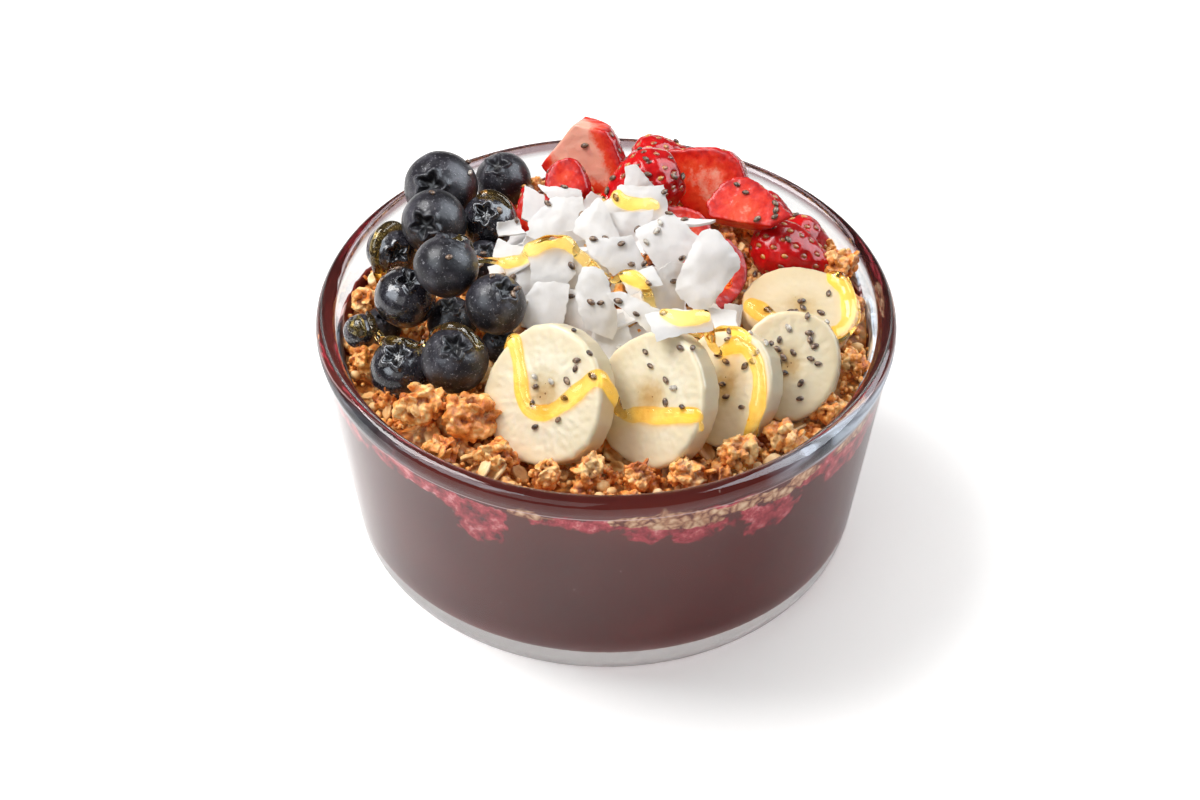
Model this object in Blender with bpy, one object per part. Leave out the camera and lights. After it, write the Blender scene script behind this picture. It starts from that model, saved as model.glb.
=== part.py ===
"""Acai bowl: a round glass bowl filled with acai puree, under a ring of granola and a heap of
blueberries, cut strawberries, banana slices and coconut flakes.

The origin is the middle of the bowl's flat base, +Z is up, -Y is the front.
Sizes and places of the food are in millimetres, and MM turns them into metres.
"""
import math
import random

import bmesh
import bpy
from mathutils import Matrix, Vector, noise
from mathutils.bvhtree import BVHTree

MM = 0.001
GAP = 0.3                    # clearance between pieces that touch

# Glass bowl
RIM_RADIUS = 76.0            # outside of the rolled rim
RIM_HEIGHT = 72.0            # top of the rim above the base
RIM_THICKNESS = 5.3
RIM_DEPTH = 6.4              # height of the rim's rounded bead
WALL_THICKNESS = 4.3
WALL_TOP = (74.8, 64.5)      # outside radius and height where the wall meets the bead
WALL_FOOT = (67.3, 9.5)      # outside radius and height where the corner starts
BASE_CORNER = 11.0           # radius of the outside corner round the base
BASE_THICKNESS = 6.0
FLOOR_CORNER = 14.0          # radius of the corner round the inside floor
BOWL_SEGMENTS = 64

# Acai puree and granola
ACAI_LEVEL = 59.0
GRANOLA_BOTTOM = ACAI_LEVEL + GAP
GRANOLA_SPOKES = 56
GRANOLA_RINGS = 12
GRANOLA_BACK = 60.6          # height of the ring of granola at the back
GRANOLA_FRONT = 64.5         # and at the front
GRANOLA_MIDDLE = 79.0        # highest the granola may heap up under the fruit
HEAP_RADIUS = 50.0           # where the heap in the middle runs out
GRANOLA_LEAST = 0.6          # thickness of its thinnest places
GRANOLA_SLOPE = 1.3          # rise over run of the steepest slope that it holds
LUMPS = [(2.4, 8.0), (1.4, 3.3)]   # height and size of its uneven lumps
ROOM_STEPS = 24              # directions in which it looks for room round a point
# Clusters that stand out of the ring: x, y, radius, height
GRANOLA_CLUSTERS = [
    (-35.0, -40.0, 10.0, 9.0),
    (-48.0, -39.0, 9.0, 5.0),
    (-59.0, -26.0, 8.0, 3.5),
    (-28.0, -55.0, 9.0, 4.5),
    (35.0, -56.0, 9.0, 4.0),
    (48.0, -42.0, 9.0, 4.5),
    (63.0, -18.0, 8.0, 3.5),
    (63.0, 8.0, 9.0, 5.0),
    (62.0, 23.0, 8.0, 6.0),
    (-65.0, -2.0, 6.0, 2.0),
    (4.0, 2.0, 20.0, 7.0),
    (3.0, 24.0, 16.0, 6.0),
    (24.0, -4.0, 12.0, 6.0),
]

# Blueberries: centre x, y, z, diameter, and where the crown points (azimuth, elevation)
BLUEBERRIES = [
    (-44.9, 43.6, 77.2, 20.0, -20, 40),
    (-28.5, 55.3, 71.2, 15.4, -50, 70),
    (-45.7, 23.1, 81.5, 17.5, -20, 30),
    (-31.2, 29.9, 76.7, 15.2, -20, 55),
    (-57.4, 24.9, 70.6, 13.9, 20, 30),
    (-41.1, -6.6, 90.3, 16.9, 150, 60),
    (-52.2, -4.4, 77.9, 16.1, 60, 75),
    (-28.2, -16.1, 85.7, 15.8, 60, 62),
    (-40.3, -2.8, 69.0, 13.1, 0, 80),
    (-52.3, -23.1, 69.5, 16.9, -25, 70),
    (-38.3, -29.0, 77.9, 17.2, 5, 68),
    (-58.6, -1.7, 66.2, 10.3, 30, 70),
    (-63.6, -9.4, 70.8, 9.3, -60, 60),
    (-27.5, -12.4, 69.0, 9.8, 10, 60),
    (-32.5, 16.6, 73.3, 11.7, 40, 70),
]
BERRY_SQUASH = 0.94          # height of a blueberry over its width
BERRY_SIDES = 12
# The crown, over the berry's radius: its lip's radius and height, the foot of its slope
# outside the lip, and how deep it is dented
CROWN_RADIUS = 0.34
CROWN_HEIGHT = 0.95
CROWN_FOOT = (0.49, 0.88)
CROWN_DENT = 0.16

# Banana slices: middle of the upper face x, y, z, then the way it faces (azimuth, elevation),
# width, height and thickness
BANANAS = [
    (-16.0, -44.5, 79.5, -38, 35, 34.5, 36.0, 8.5),
    (10.7, -44.6, 78.8, -44, 33, 33.0, 35.0, 8.0),
    (29.2, -36.8, 76.2, -40, 36, 28.0, 30.0, 7.5),
    (46.5, -26.3, 75.0, -14, 44, 26.0, 28.5, 7.0),
    (50.2, -2.3, 74.5, 0, 74, 30.0, 26.5, 8.0),
]
BANANA_SIDES = 20
BANANA_EDGE = 0.7            # rounding of a slice's cut edge
BANANA_CORNERS = 0.025       # how far a slice's outline bulges at its three blunt corners

# Strawberry pieces.  A whole berry lies along its own Y, its tip at -Y, and its upper side
# faces (azimuth, elevation), with the stem end turned from upright by the spin.
# Each cut takes away what lies beyond a distance from the berry's middle, on one side of it.
FACE = (0, 0, 1)
BACK = (0, 0, -1)
STEM = (0, 1, 0)
SIDE = (-1, 0, 0)
CORNER = (0.87, 0.5, 0)
# Middle x, y, z, azimuth, elevation, spin, length, width, cuts
STRAWBERRIES = [
    (-5.0, 54.5, 79.0, -20, 22, 60, 38, 23, [(FACE, 2.5), (STEM, 9.0), (BACK, 8.0), (CORNER, 9.5)]),
    (14.5, 60.0, 75.5, 10, 60, 100, 19, 15, [(BACK, 2.0)]),
    (9.2, 40.2, 80.5, 5, 40, -68, 29, 20, [(BACK, 1.0), (STEM, 11.0)]),
    (26.4, 48.5, 77.0, -25, 25, -110, 29, 22, [(FACE, 1.0), (BACK, 9.0)]),
    (-9.8, 41.6, 80.8, -10, 45, 70, 16, 13, [(FACE, 2.5)]),
    (37.4, 26.2, 84.0, -20, 55, 94, 25, 18, [(FACE, 0.5), (BACK, 5.5), (SIDE, 4.0)]),
    (49.9, 23.6, 70.8, 0, 50, 70, 29, 17, [(BACK, 0.5), (STEM, 12.0)]),
    (17.7, 18.3, 82.0, 15, 50, -138, 26, 18, [(FACE, 1.0), (BACK, 6.0)]),
    (28.9, 2.4, 78.8, 30, 40, -35, 25, 16, [(FACE, 1.0), (BACK, 7.0)]),
    (-19.0, 38.6, 72.4, -20, 45, -140, 19, 14, [(FACE, 2.0)]),
    (54.0, 33.0, 68.2, 20, 50, 60, 18, 14, [(BACK, 1.0)]),
    (44.6, 42.6, 70.5, 0, 50, 80, 14, 12, [(BACK, 1.0)]),
]
STRAWBERRY_FLATNESS = 0.94   # thickness of a berry over its width
STRAWBERRY_SHOULDER = 1.4    # above 1, the widest place lies towards the stem
STRAWBERRY_ROUNDNESS = 0.8   # under 1, fuller than a sine
STRAWBERRY_SIDES = 14
STRAWBERRY_RINGS = 7

# Coconut flakes, in the order in which they fell: centre x, y, z, the way the flake faces
# (azimuth, elevation), the turn of its length from upright, length, width, curl (how far its
# middle stands proud) and its broken corners (direction in the flake, distance from its middle)
FLAKES = [
    (-7.5, -12.4, 79.0, 0, 35, 8, 15, 12, 1.0, []),
    (-5.8, -1.1, 83.0, 10, 35, -10, 15, 13, 1.5, [(120, 6)]),
    (-15.7, -10.4, 80.0, -15, 42, 3, 13, 12, 1.0, [(150, 5.5), (-140, 6.5)]),
    (0.4, -21.0, 79.0, 0, 50, 20, 11, 12, 1.0, [(140, 4)]),
    (-1.4, -14.7, 85.5, -10, 35, -8, 17, 13, 1.5, [(30, 4.2), (-146, 5.6)]),
    (15.0, -8.3, 85.0, 15, 35, -15, 15, 12, 1.0, [(130, 5)]),
    (9.5, -20.8, 87.0, 5, 42, 0, 12, 18, 1.5, [(61, 2.4), (-135, 3.4)]),
    (3.2, -1.1, 87.0, 10, 42, 0, 14, 15, 1.5, [(-138, 3.4), (20, 6.5)]),
    (8.8, -9.4, 88.5, 0, 55, 20, 6, 9, 0.5, []),
    (-23.9, -0.5, 85.0, -15, 45, 0, 13, 13, 1.0, [(-129, 2.4)]),
    (-14.3, -2.3, 86.5, 10, 42, 0, 14, 12, 1.0, [(-45, 5.8)]),
    (-12.5, 31.9, 83.0, -10, 50, 0, 6, 12, 0.5, [(-130, 2.2)]),
    (-13.7, 21.1, 84.0, -10, 50, 10, 12, 15, 1.0, [(135, 5)]),
    (6.1, 13.2, 86.0, 5, 40, 0, 12, 12, 0.5, []),
    (-2.3, 13.7, 88.5, -15, 45, 0, 17, 14, 1.0, [(37, 4.2), (-118, 5.8), (141, 5.4)]),
    (9.3, 30.0, 88.0, 0, 35, 0, 12, 9, 1.0, [(40, 3)]),
    (6.6, 22.8, 87.5, 0, 50, 0, 10, 18, 1.0, [(150, 6)]),
    (16.1, 4.0, 91.0, 5, 50, 0, 15, 17, 1.5, [(45, 6), (-39, 6.8), (113, 6.4), (-150, 7)]),
    (25.9, -7.8, 90.0, 0, 45, 0, 23, 16, 2.5, [(42, 9), (157, 6.6), (-37, 6), (-130, 10)]),
    (17.5, -31.5, 89.0, 10, 62, 5, 8, 15, 1.0, [(70, 3.5)]),
]
FLAKE_THICKNESS = 1.1
FLAKE_CELLS = 3              # cells across and along a flake
FLAKE_RAGGED = 0.05          # how far its edges wander, over its length and width
LIFT_STEP = 0.25             # a flake is moved this much at a time until it lies free


def material(name, colour, roughness, transmission=0.0):
    """Principled material of one sRGB colour."""
    def linear(channel):
        value = int(colour[channel:channel + 2], 16) / 255
        return value / 12.92 if value <= 0.04045 else ((value + 0.055) / 1.055) ** 2.4

    made = bpy.data.materials.new(name)
    made.use_nodes = True
    shader = made.node_tree.nodes["Principled BSDF"]
    rgba = (linear(0), linear(2), linear(4), 1.0)
    shader.inputs["Base Color"].default_value = rgba
    shader.inputs["Roughness"].default_value = roughness
    shader.inputs["Metallic"].default_value = 0.0
    shader.inputs["Transmission Weight"].default_value = transmission
    made.diffuse_color = rgba
    return made


def add_object(name, work, finish, smooth_angle=40):
    """Turn a bmesh in millimetres into a named object in metres, shaded smooth."""
    bmesh.ops.recalc_face_normals(work, faces=work.faces)
    bmesh.ops.scale(work, vec=(MM, MM, MM), verts=work.verts)
    mesh = bpy.data.meshes.new(name)
    work.to_mesh(mesh)
    work.free()
    mesh.shade_smooth()
    mesh.set_sharp_from_angle(angle=math.radians(smooth_angle))
    mesh.materials.append(finish)
    made = bpy.data.objects.new(name, mesh)
    bpy.context.collection.objects.link(made)
    return made


def facing(azimuth, elevation, spin=0.0):
    """Rotation whose Z points out at an azimuth (0 is the front, 90 is +X) and elevation,
    with Y as upright as it can be and then turned by the spin."""
    az = math.radians(azimuth)
    el = math.radians(elevation)
    out = Vector((math.cos(el) * math.sin(az), -math.cos(el) * math.cos(az), math.sin(el)))
    side = Vector((math.cos(az), math.sin(az), 0.0))
    up = out.cross(side)
    axes = Matrix((side, up, out)).transposed().to_4x4()
    return axes @ Matrix.Rotation(math.radians(spin), 4, "Z")


def arc(centre, radius, start, end, steps):
    """Points of an arc in the (radius, height) half plane, angles in degrees."""
    points = []
    for step in range(steps + 1):
        angle = math.radians(start + (end - start) * step / steps)
        points.append((centre[0] + radius * math.cos(angle), centre[1] + radius * math.sin(angle)))
    return points


def turned(name, outline, sides, finish, place=Matrix()):
    """Turn an outline, which starts and ends on the axis, round Z, and then place it."""
    work = bmesh.new()
    path = [work.verts.new((radius, 0.0, height)) for radius, height in outline]
    edges = [work.edges.new(pair) for pair in zip(path, path[1:])]
    bmesh.ops.spin(work, geom=path + edges, axis=(0, 0, 1), cent=(0, 0, 0), steps=sides,
                   angle=2 * math.pi, use_merge=True)
    bmesh.ops.remove_doubles(work, verts=work.verts, dist=0.001)
    bmesh.ops.transform(work, matrix=place, verts=work.verts)
    return add_object(name, work, finish)


# ---------------------------------------------------------------- glass bowl

WALL_SLOPE = (WALL_TOP[0] - WALL_FOOT[0]) / (WALL_TOP[1] - WALL_FOOT[1])
WALL_LEAN = math.degrees(math.atan(WALL_SLOPE))


def wall_radius(height, inset):
    """Radius of the wall's outside at a height, less an inset square to the wall."""
    outside = WALL_FOOT[0] + (height - WALL_FOOT[1]) * WALL_SLOPE
    return outside - inset / math.cos(math.radians(WALL_LEAN))


def inside_outline(inset, top):
    """The bowl's inside from its floor's middle up to a height, moved inwards by an inset."""
    floor = BASE_THICKNESS + inset
    corner = FLOOR_CORNER - inset
    turn_height = floor + corner * (1 - math.sin(math.radians(WALL_LEAN)))
    reach = wall_radius(turn_height, WALL_THICKNESS + inset)
    centre = (reach - corner * math.cos(math.radians(WALL_LEAN)), floor + corner)
    points = [(0.0, floor)]
    points += arc(centre, corner, -90, -WALL_LEAN, 2)
    points.append((wall_radius(top, WALL_THICKNESS + inset), top))
    return points


def glass_bowl(finish):
    """Pressed glass bowl with a thick base, round corners and a rounded rim bead."""
    lean = math.radians(WALL_LEAN)
    corner_centre = (WALL_FOOT[0] - BASE_CORNER * math.cos(lean), BASE_CORNER)
    outline = [(0.0, 0.0)]
    outline += arc(corner_centre, BASE_CORNER, -90, -WALL_LEAN, 3)
    outline.append(WALL_TOP)
    bead = (RIM_RADIUS - RIM_THICKNESS / 2, RIM_HEIGHT - RIM_DEPTH / 2)
    for angle in (-10, 35, 75, 115, 160):
        turn = math.radians(angle)
        outline.append((bead[0] + RIM_THICKNESS / 2 * math.cos(turn),
                        bead[1] + RIM_DEPTH / 2 * math.sin(turn)))
    outline += reversed(inside_outline(0.0, WALL_TOP[1]))
    return turned("glass_bowl", outline, BOWL_SEGMENTS, finish)


def acai(finish):
    """Puree that fills the bowl up to its level."""
    outline = inside_outline(GAP, ACAI_LEVEL)
    outline.append((0.0, ACAI_LEVEL))
    return turned("acai", outline, BOWL_SEGMENTS, finish)


# ---------------------------------------------------------------- fruit

def blueberry(name, place, finish):
    """Round berry, a little flat, with the dent of its crown at the top."""
    x, y, z, diameter, azimuth, elevation = place
    outline = [(0.0, -1.0)]
    for latitude in (-55, -25, 5, 35):
        turn = math.radians(latitude)
        outline.append((math.cos(turn), math.sin(turn)))
    outline.append(CROWN_FOOT)
    outline.append((CROWN_RADIUS, CROWN_HEIGHT))
    outline.append((0.0, CROWN_HEIGHT - CROWN_DENT))
    size = diameter / 2
    outline = [(size * radius, size * BERRY_SQUASH * height) for radius, height in outline]
    turn = Matrix.Translation((x, y, z)) @ facing(azimuth, elevation)
    return turned(name, outline, BERRY_SIDES, finish, turn)


def banana_slice(name, place, seed, finish):
    """Slice of a peeled banana: a disc, slightly three-cornered, with rounded cut edges."""
    x, y, z, azimuth, elevation, width, height, thickness = place
    work = bmesh.new()
    rings = []
    for inset, level in ((BANANA_EDGE, 0.0), (0.0, -BANANA_EDGE),
                         (0.0, BANANA_EDGE - thickness), (BANANA_EDGE, -thickness)):
        ring = []
        for side in range(BANANA_SIDES):
            turn = 2 * math.pi * side / BANANA_SIDES
            bulge = 1 + BANANA_CORNERS * (math.cos(3 * turn + seed) + 0.5 * math.cos(5 * turn + 2 * seed))
            across = (width / 2 * bulge - inset) * math.cos(turn)
            along = (height / 2 * bulge - inset) * math.sin(turn)
            ring.append(work.verts.new((across, along, level)))
        rings.append(ring)
    for upper, lower in zip(rings, rings[1:]):
        for side in range(BANANA_SIDES):
            after = (side + 1) % BANANA_SIDES
            work.faces.new((upper[side], upper[after], lower[after], lower[side]))
    work.faces.new(rings[0])
    work.faces.new(reversed(rings[-1]))
    turn = Matrix.Translation((x, y, z)) @ facing(azimuth, elevation)
    bmesh.ops.transform(work, matrix=turn, verts=work.verts)
    return add_object(name, work, finish)


def strawberry_piece(name, place, finish):
    """Piece of a strawberry: the whole berry's round, pointed body, cut by flat planes."""
    x, y, z, azimuth, elevation, spin, length, width, cuts = place
    work = bmesh.new()
    rings = []
    for ring_number in range(1, STRAWBERRY_RINGS):
        along = ring_number / STRAWBERRY_RINGS
        bulge = math.sin(math.pi * along ** STRAWBERRY_SHOULDER) ** STRAWBERRY_ROUNDNESS
        radius = width / 2 * bulge
        ring = []
        for side in range(STRAWBERRY_SIDES):
            turn = 2 * math.pi * side / STRAWBERRY_SIDES
            ring.append(work.verts.new((radius * math.cos(turn), (along - 0.5) * length,
                                        radius * math.sin(turn) * STRAWBERRY_FLATNESS)))
        rings.append(ring)
    for near, far in zip(rings, rings[1:]):
        for side in range(STRAWBERRY_SIDES):
            after = (side + 1) % STRAWBERRY_SIDES
            work.faces.new((near[side], near[after], far[after], far[side]))
    for ring, end in ((rings[0], -0.5), (rings[-1], 0.47)):
        pole = work.verts.new((0.0, end * length, 0.0))
        for side in range(STRAWBERRY_SIDES):
            work.faces.new((ring[side], ring[(side + 1) % STRAWBERRY_SIDES], pole))
    bmesh.ops.recalc_face_normals(work, faces=work.faces)
    for normal, distance in cuts:
        direction = Vector(normal).normalized()
        geometry = work.verts[:] + work.edges[:] + work.faces[:]
        cut = bmesh.ops.bisect_plane(work, geom=geometry, dist=0.01, plane_co=direction * distance,
                                     plane_no=direction, clear_outer=True)
        edges = [item for item in cut["geom_cut"] if isinstance(item, bmesh.types.BMEdge)]
        bmesh.ops.contextual_create(work, geom=edges)
    bmesh.ops.remove_doubles(work, verts=work.verts, dist=0.05)
    turn = Matrix.Translation((x, y, z)) @ facing(azimuth, elevation, spin)
    bmesh.ops.transform(work, matrix=turn, verts=work.verts)
    return add_object(name, work, finish, smooth_angle=50)


def coconut_flake(name, place, seed, finish):
    """Thin curled shaving of coconut, a rectangle with its corners broken off."""
    x, y, z, azimuth, elevation, spin, length, width, curl, breaks = place
    uneven = random.Random(seed)
    work = bmesh.new()
    bmesh.ops.create_grid(work, x_segments=FLAKE_CELLS, y_segments=FLAKE_CELLS, size=0.5)
    for vertex in work.verts:
        across = 2 * vertex.co.x
        along = 2 * vertex.co.y
        side = (across / 2 + uneven.uniform(-FLAKE_RAGGED, FLAKE_RAGGED)) * width
        end = (along / 2 + uneven.uniform(-FLAKE_RAGGED, FLAKE_RAGGED)) * length
        vertex.co = (side, end, curl * (1 - across ** 2) - 0.5 * curl * along ** 2)
    for angle, distance in breaks:
        turn = math.radians(angle)
        direction = Vector((math.cos(turn), math.sin(turn), 0.0))
        geometry = work.verts[:] + work.edges[:] + work.faces[:]
        bmesh.ops.bisect_plane(work, geom=geometry, dist=0.2, plane_co=direction * distance,
                               plane_no=direction, clear_outer=True)
    bmesh.ops.solidify(work, geom=work.faces[:], thickness=FLAKE_THICKNESS)
    turn = Matrix.Translation((x, y, z)) @ facing(azimuth, elevation, spin)
    bmesh.ops.transform(work, matrix=turn, verts=work.verts)
    return add_object(name, work, finish)


# ---------------------------------------------------------------- how the food lies

def surface(thing, shift=Vector(), swell=0.0):
    """Search tree of a piece's surface in metres, shifted, and swelled along its normals."""
    mesh = thing.data
    mesh.calc_loop_triangles()
    points = [vertex.co + vertex.normal * swell + shift for vertex in mesh.vertices]
    return BVHTree.FromPolygons(points, [tri.vertices for tri in mesh.loop_triangles])


def lay_on(thing, out, pile):
    """Move a piece outwards along a direction until it lies free of all laid before it."""
    laid = [surface(other) for other in pile]
    shift = Vector()
    while any(surface(thing, shift, GAP * MM).overlap(other) for other in laid):
        shift += out * LIFT_STEP * MM
    thing.data.transform(Matrix.Translation(shift))


def granola(pile, finish):
    """Granola: one heap over the puree, out to the glass, lumpy, and filling in under the
    fruit as high as the fruit leaves room."""
    ceilings = [surface(thing) for thing in pile]

    def room(x, y):
        """Height of the lowest fruit over a spot."""
        start = Vector((x * MM, y * MM, GRANOLA_BOTTOM * MM))
        hits = [tree.ray_cast(start, Vector((0, 0, 1)))[0] for tree in ceilings]
        return min([hit.z / MM for hit in hits if hit is not None], default=2 * RIM_HEIGHT)

    cell = wall_radius(GRANOLA_FRONT, WALL_THICKNESS) / GRANOLA_RINGS

    def roof(x, y):
        """Height of the lowest fruit over a spot and as far round it as the next points."""
        spoke_gap = 2 * math.pi * math.hypot(x, y) / GRANOLA_SPOKES
        reach = 1.05 * max(spoke_gap, math.hypot(cell, spoke_gap / 2))
        lowest = room(x, y)
        for step in range(ROOM_STEPS):
            turn = 2 * math.pi * step / ROOM_STEPS
            for share in (0.2, 0.4, 0.6, 0.8, 1.0):
                lowest = min(lowest, room(x + reach * share * math.cos(turn),
                                          y + reach * share * math.sin(turn)))
        return lowest

    def level(x, y):
        """Height of the granola's top at a spot."""
        front = 0.5 - 0.5 * y / max(1.0, math.hypot(x, y))
        ring = GRANOLA_BACK + (GRANOLA_FRONT - GRANOLA_BACK) * front ** 1.5
        radius = math.hypot(x, y)
        rise = max(0.0, 1 - (radius / HEAP_RADIUS) ** 3) * (GRANOLA_MIDDLE - ring)
        lumps = sum(height * noise.noise(Vector((x, y, size)) / size) for height, size in LUMPS)
        for middle_x, middle_y, spread, height in GRANOLA_CLUSTERS:
            away = math.hypot(x - middle_x, y - middle_y) / spread
            lumps += height * max(0.0, 1 - away ** 2) ** 0.7
        height = min(ring + rise + lumps, roof(x, y) - 2 * GAP)
        return max(height, GRANOLA_BOTTOM + GRANOLA_LEAST)

    work = bmesh.new()
    rings = []
    for ring_number in range(1, GRANOLA_RINGS + 1):
        ring = []
        for spoke in range(GRANOLA_SPOKES):
            turn = 2 * math.pi * (spoke + 0.5 * (ring_number % 2)) / GRANOLA_SPOKES
            reach = ring_number / GRANOLA_RINGS * wall_radius(GRANOLA_BOTTOM, WALL_THICKNESS + GAP)
            height = level(reach * math.cos(turn), reach * math.sin(turn))
            if ring_number == GRANOLA_RINGS:
                reach = wall_radius(height, WALL_THICKNESS + GAP)
            ring.append(work.verts.new((reach * math.cos(turn), reach * math.sin(turn), height)))
        rings.append(ring)
    foot = []
    reach = wall_radius(GRANOLA_BOTTOM, WALL_THICKNESS + GAP)
    for vertex in rings[-1]:
        turn = math.atan2(vertex.co.y, vertex.co.x)
        foot.append(work.verts.new((reach * math.cos(turn), reach * math.sin(turn), GRANOLA_BOTTOM)))
    for number, (inner, outer) in enumerate(zip(rings, rings[1:]), start=1):
        for spoke in range(GRANOLA_SPOKES):
            after = (spoke + 1) % GRANOLA_SPOKES
            if number % 2:
                work.faces.new((inner[spoke], outer[spoke], outer[after]))
                work.faces.new((inner[spoke], outer[after], inner[after]))
            else:
                work.faces.new((inner[spoke], outer[spoke], inner[after]))
                work.faces.new((inner[after], outer[spoke], outer[after]))
    middle = work.verts.new((0.0, 0.0, level(0.0, 0.0)))
    for spoke in range(GRANOLA_SPOKES):
        work.faces.new((middle, rings[0][spoke], rings[0][(spoke + 1) % GRANOLA_SPOKES]))
    # It slides down wherever it stands too steep
    for sweep in range(2 * GRANOLA_RINGS):
        for edge in work.edges:
            low, high = sorted(edge.verts, key=lambda vertex: vertex.co.z)
            run = (high.co.xy - low.co.xy).length
            high.co.z = min(high.co.z, low.co.z + GRANOLA_SLOPE * run)
    for spoke in range(GRANOLA_SPOKES):
        after = (spoke + 1) % GRANOLA_SPOKES
        work.faces.new((rings[-1][spoke], foot[spoke], foot[after], rings[-1][after]))
    work.faces.new(foot)
    return add_object("granola", work, finish, smooth_angle=80)


# ---------------------------------------------------------------- the whole bowl

for old in list(bpy.data.objects):
    bpy.data.objects.remove(old, do_unlink=True)

glass_bowl(material("clear glass", "E8ECEC", 0.05, transmission=1.0))
acai(material("acai puree", "56302F", 0.35))

blueberry_skin = material("blueberry skin", "2C2F3A", 0.45)
banana_flesh = material("banana flesh", "F2E6C8", 0.45)
strawberry_flesh = material("strawberry", "C9242A", 0.25)
coconut_flesh = material("coconut", "F0EEEA", 0.6)
baked_oats = material("granola", "B4753D", 0.75)

pile = []
for number, place in enumerate(BLUEBERRIES, start=1):
    pile.append(blueberry(f"blueberry_{number:02d}", place, blueberry_skin))
for number, place in enumerate(BANANAS, start=1):
    pile.append(banana_slice(f"banana_slice_{number}", place, number, banana_flesh))
for number, place in enumerate(STRAWBERRIES, start=1):
    pile.append(strawberry_piece(f"strawberry_{number:02d}", place, strawberry_flesh))
for number, place in enumerate(FLAKES, start=1):
    flake = coconut_flake(f"coconut_flake_{number:02d}", place, number, coconut_flesh)
    lay_on(flake, facing(place[3], place[4]).col[2].to_3d(), pile)
    pile.append(flake)
granola(pile, baked_oats)
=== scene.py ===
"""Looks of the acai bowl: glass, puree, granola, fruit, coconut, honey and chia seeds.

Metres, +Z up, the origin in the middle of the bowl's base, -Y towards the viewer.
"""

import math
import random

import bmesh
import bpy
import numpy as np
from mathutils import Matrix, Vector, noise
from mathutils.bvhtree import BVHTree


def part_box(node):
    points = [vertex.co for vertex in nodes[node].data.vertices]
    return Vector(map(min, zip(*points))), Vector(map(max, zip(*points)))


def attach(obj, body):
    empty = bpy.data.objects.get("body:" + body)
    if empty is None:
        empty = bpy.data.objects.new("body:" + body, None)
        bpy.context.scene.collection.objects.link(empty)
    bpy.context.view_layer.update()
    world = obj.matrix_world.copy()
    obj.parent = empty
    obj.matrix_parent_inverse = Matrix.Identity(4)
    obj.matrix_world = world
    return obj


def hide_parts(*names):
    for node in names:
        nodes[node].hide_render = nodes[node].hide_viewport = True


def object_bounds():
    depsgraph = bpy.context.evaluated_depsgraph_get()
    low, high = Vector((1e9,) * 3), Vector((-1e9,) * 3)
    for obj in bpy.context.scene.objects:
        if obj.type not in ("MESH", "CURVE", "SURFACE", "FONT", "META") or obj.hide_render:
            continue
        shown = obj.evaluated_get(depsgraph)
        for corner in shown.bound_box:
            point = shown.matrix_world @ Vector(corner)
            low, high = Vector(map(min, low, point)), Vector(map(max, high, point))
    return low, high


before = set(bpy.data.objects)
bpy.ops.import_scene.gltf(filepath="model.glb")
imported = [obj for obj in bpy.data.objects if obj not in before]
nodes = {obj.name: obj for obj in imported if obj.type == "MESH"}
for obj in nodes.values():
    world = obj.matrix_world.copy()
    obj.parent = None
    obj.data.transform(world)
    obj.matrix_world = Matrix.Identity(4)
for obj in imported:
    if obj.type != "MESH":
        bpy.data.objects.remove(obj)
cad_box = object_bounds()

# ------------------------------------------------------------------ table and light
# A plain white sheet under the bowl, lit by one large softbox high on the left, whose soft
# shadow falls to the right, and by a ceiling panel, a weak front fill and two windows that
# only show as reflections in wet and glass surfaces, in a dim studio.  The sheet is lit a
# little from below, which keeps the shadow light, and under the bowl it has a stronger
# painted glow that shows only through the glass.

MM = 0.001
FLOOR_SIZE = 6.0
FLOOR_BELOW = 0.2 * MM       # clear of the glass, so that the two don't share a plane
CAMERA_TARGET = Vector((-1.5, 0.0, 39.5)) * MM
CAMERA_DISTANCE = 0.86
CAMERA_ELEVATION = math.radians(41.1)
CAMERA_ROLL = math.radians(0.37)
CAMERA_LENS = 96.3
SOFTBOX_SIZE = 0.55
SOFTBOX_DISTANCE = 1.1
SOFTBOX_ELEVATION = math.radians(56)
SOFTBOX_AZIMUTH = math.radians(-105)     # 0 is the front, -90 the left
SOFTBOX_POWER = 11.5
FILL_POWER = 2.8
CEILING_POWER = 14.0
WINDOW_POWER = 34.0
STUDIO_BRIGHTNESS = 0.10
SHEET_GLOW = 0.33
PAINTED_GLOW_UNDER_BOWL = 1.5       # painted glow under the bowl, seen only through the glass base
PAINTED_GLOW_RADIUS = 66 * MM
# The output that a shader node is mostly used for, where it isn't its first.
MAIN_OUTPUT = {"ShaderNodeAttribute": "Fac", "ShaderNodeTexCoord": "Object",
               "ShaderNodeVectorMath": "Value"}


def linear(code):
    """Linear colour of an sRGB hex code."""
    channels = [int(code[start:start + 2], 16) / 255 for start in (0, 2, 4)]
    return (*[c / 12.92 if c <= 0.04045 else ((c + 0.055) / 1.055) ** 2.4 for c in channels], 1.0)


def feed(node, *numbered, **named):
    """Give a shader node its inputs: values, or nodes and outputs, which are linked to it.

    They are given in order or by name, where an underscore stands for a space.
    """
    spaced = {name.replace("_", " "): value for name, value in named.items()}
    for name, value in {**dict(enumerate(numbered)), **spaced}.items():
        if isinstance(value, bpy.types.Node):
            value = value.outputs[MAIN_OUTPUT.get(value.bl_idname, 0)]
        if isinstance(value, bpy.types.NodeSocket):
            node.id_data.links.new(value, node.inputs[name])
        else:
            node.inputs[name].default_value = value


def add(tree, kind, *numbered, stops=(), **named):
    """Add a shader node with its inputs, its settings, whose names are lower case, and its stops."""
    made = tree.nodes.new("ShaderNode" + kind)
    for name, value in named.items():
        if name.islower():
            setattr(made, name, value)
    feed(made, *numbered, **{name: value for name, value in named.items() if not name.islower()})
    while stops and len(made.color_ramp.elements) < len(stops):
        made.color_ramp.elements.new(0.5)
    for number, (place, code) in enumerate(stops):
        made.color_ramp.elements[number].position = place
        made.color_ramp.elements[number].color = linear(code)
    return made


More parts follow.
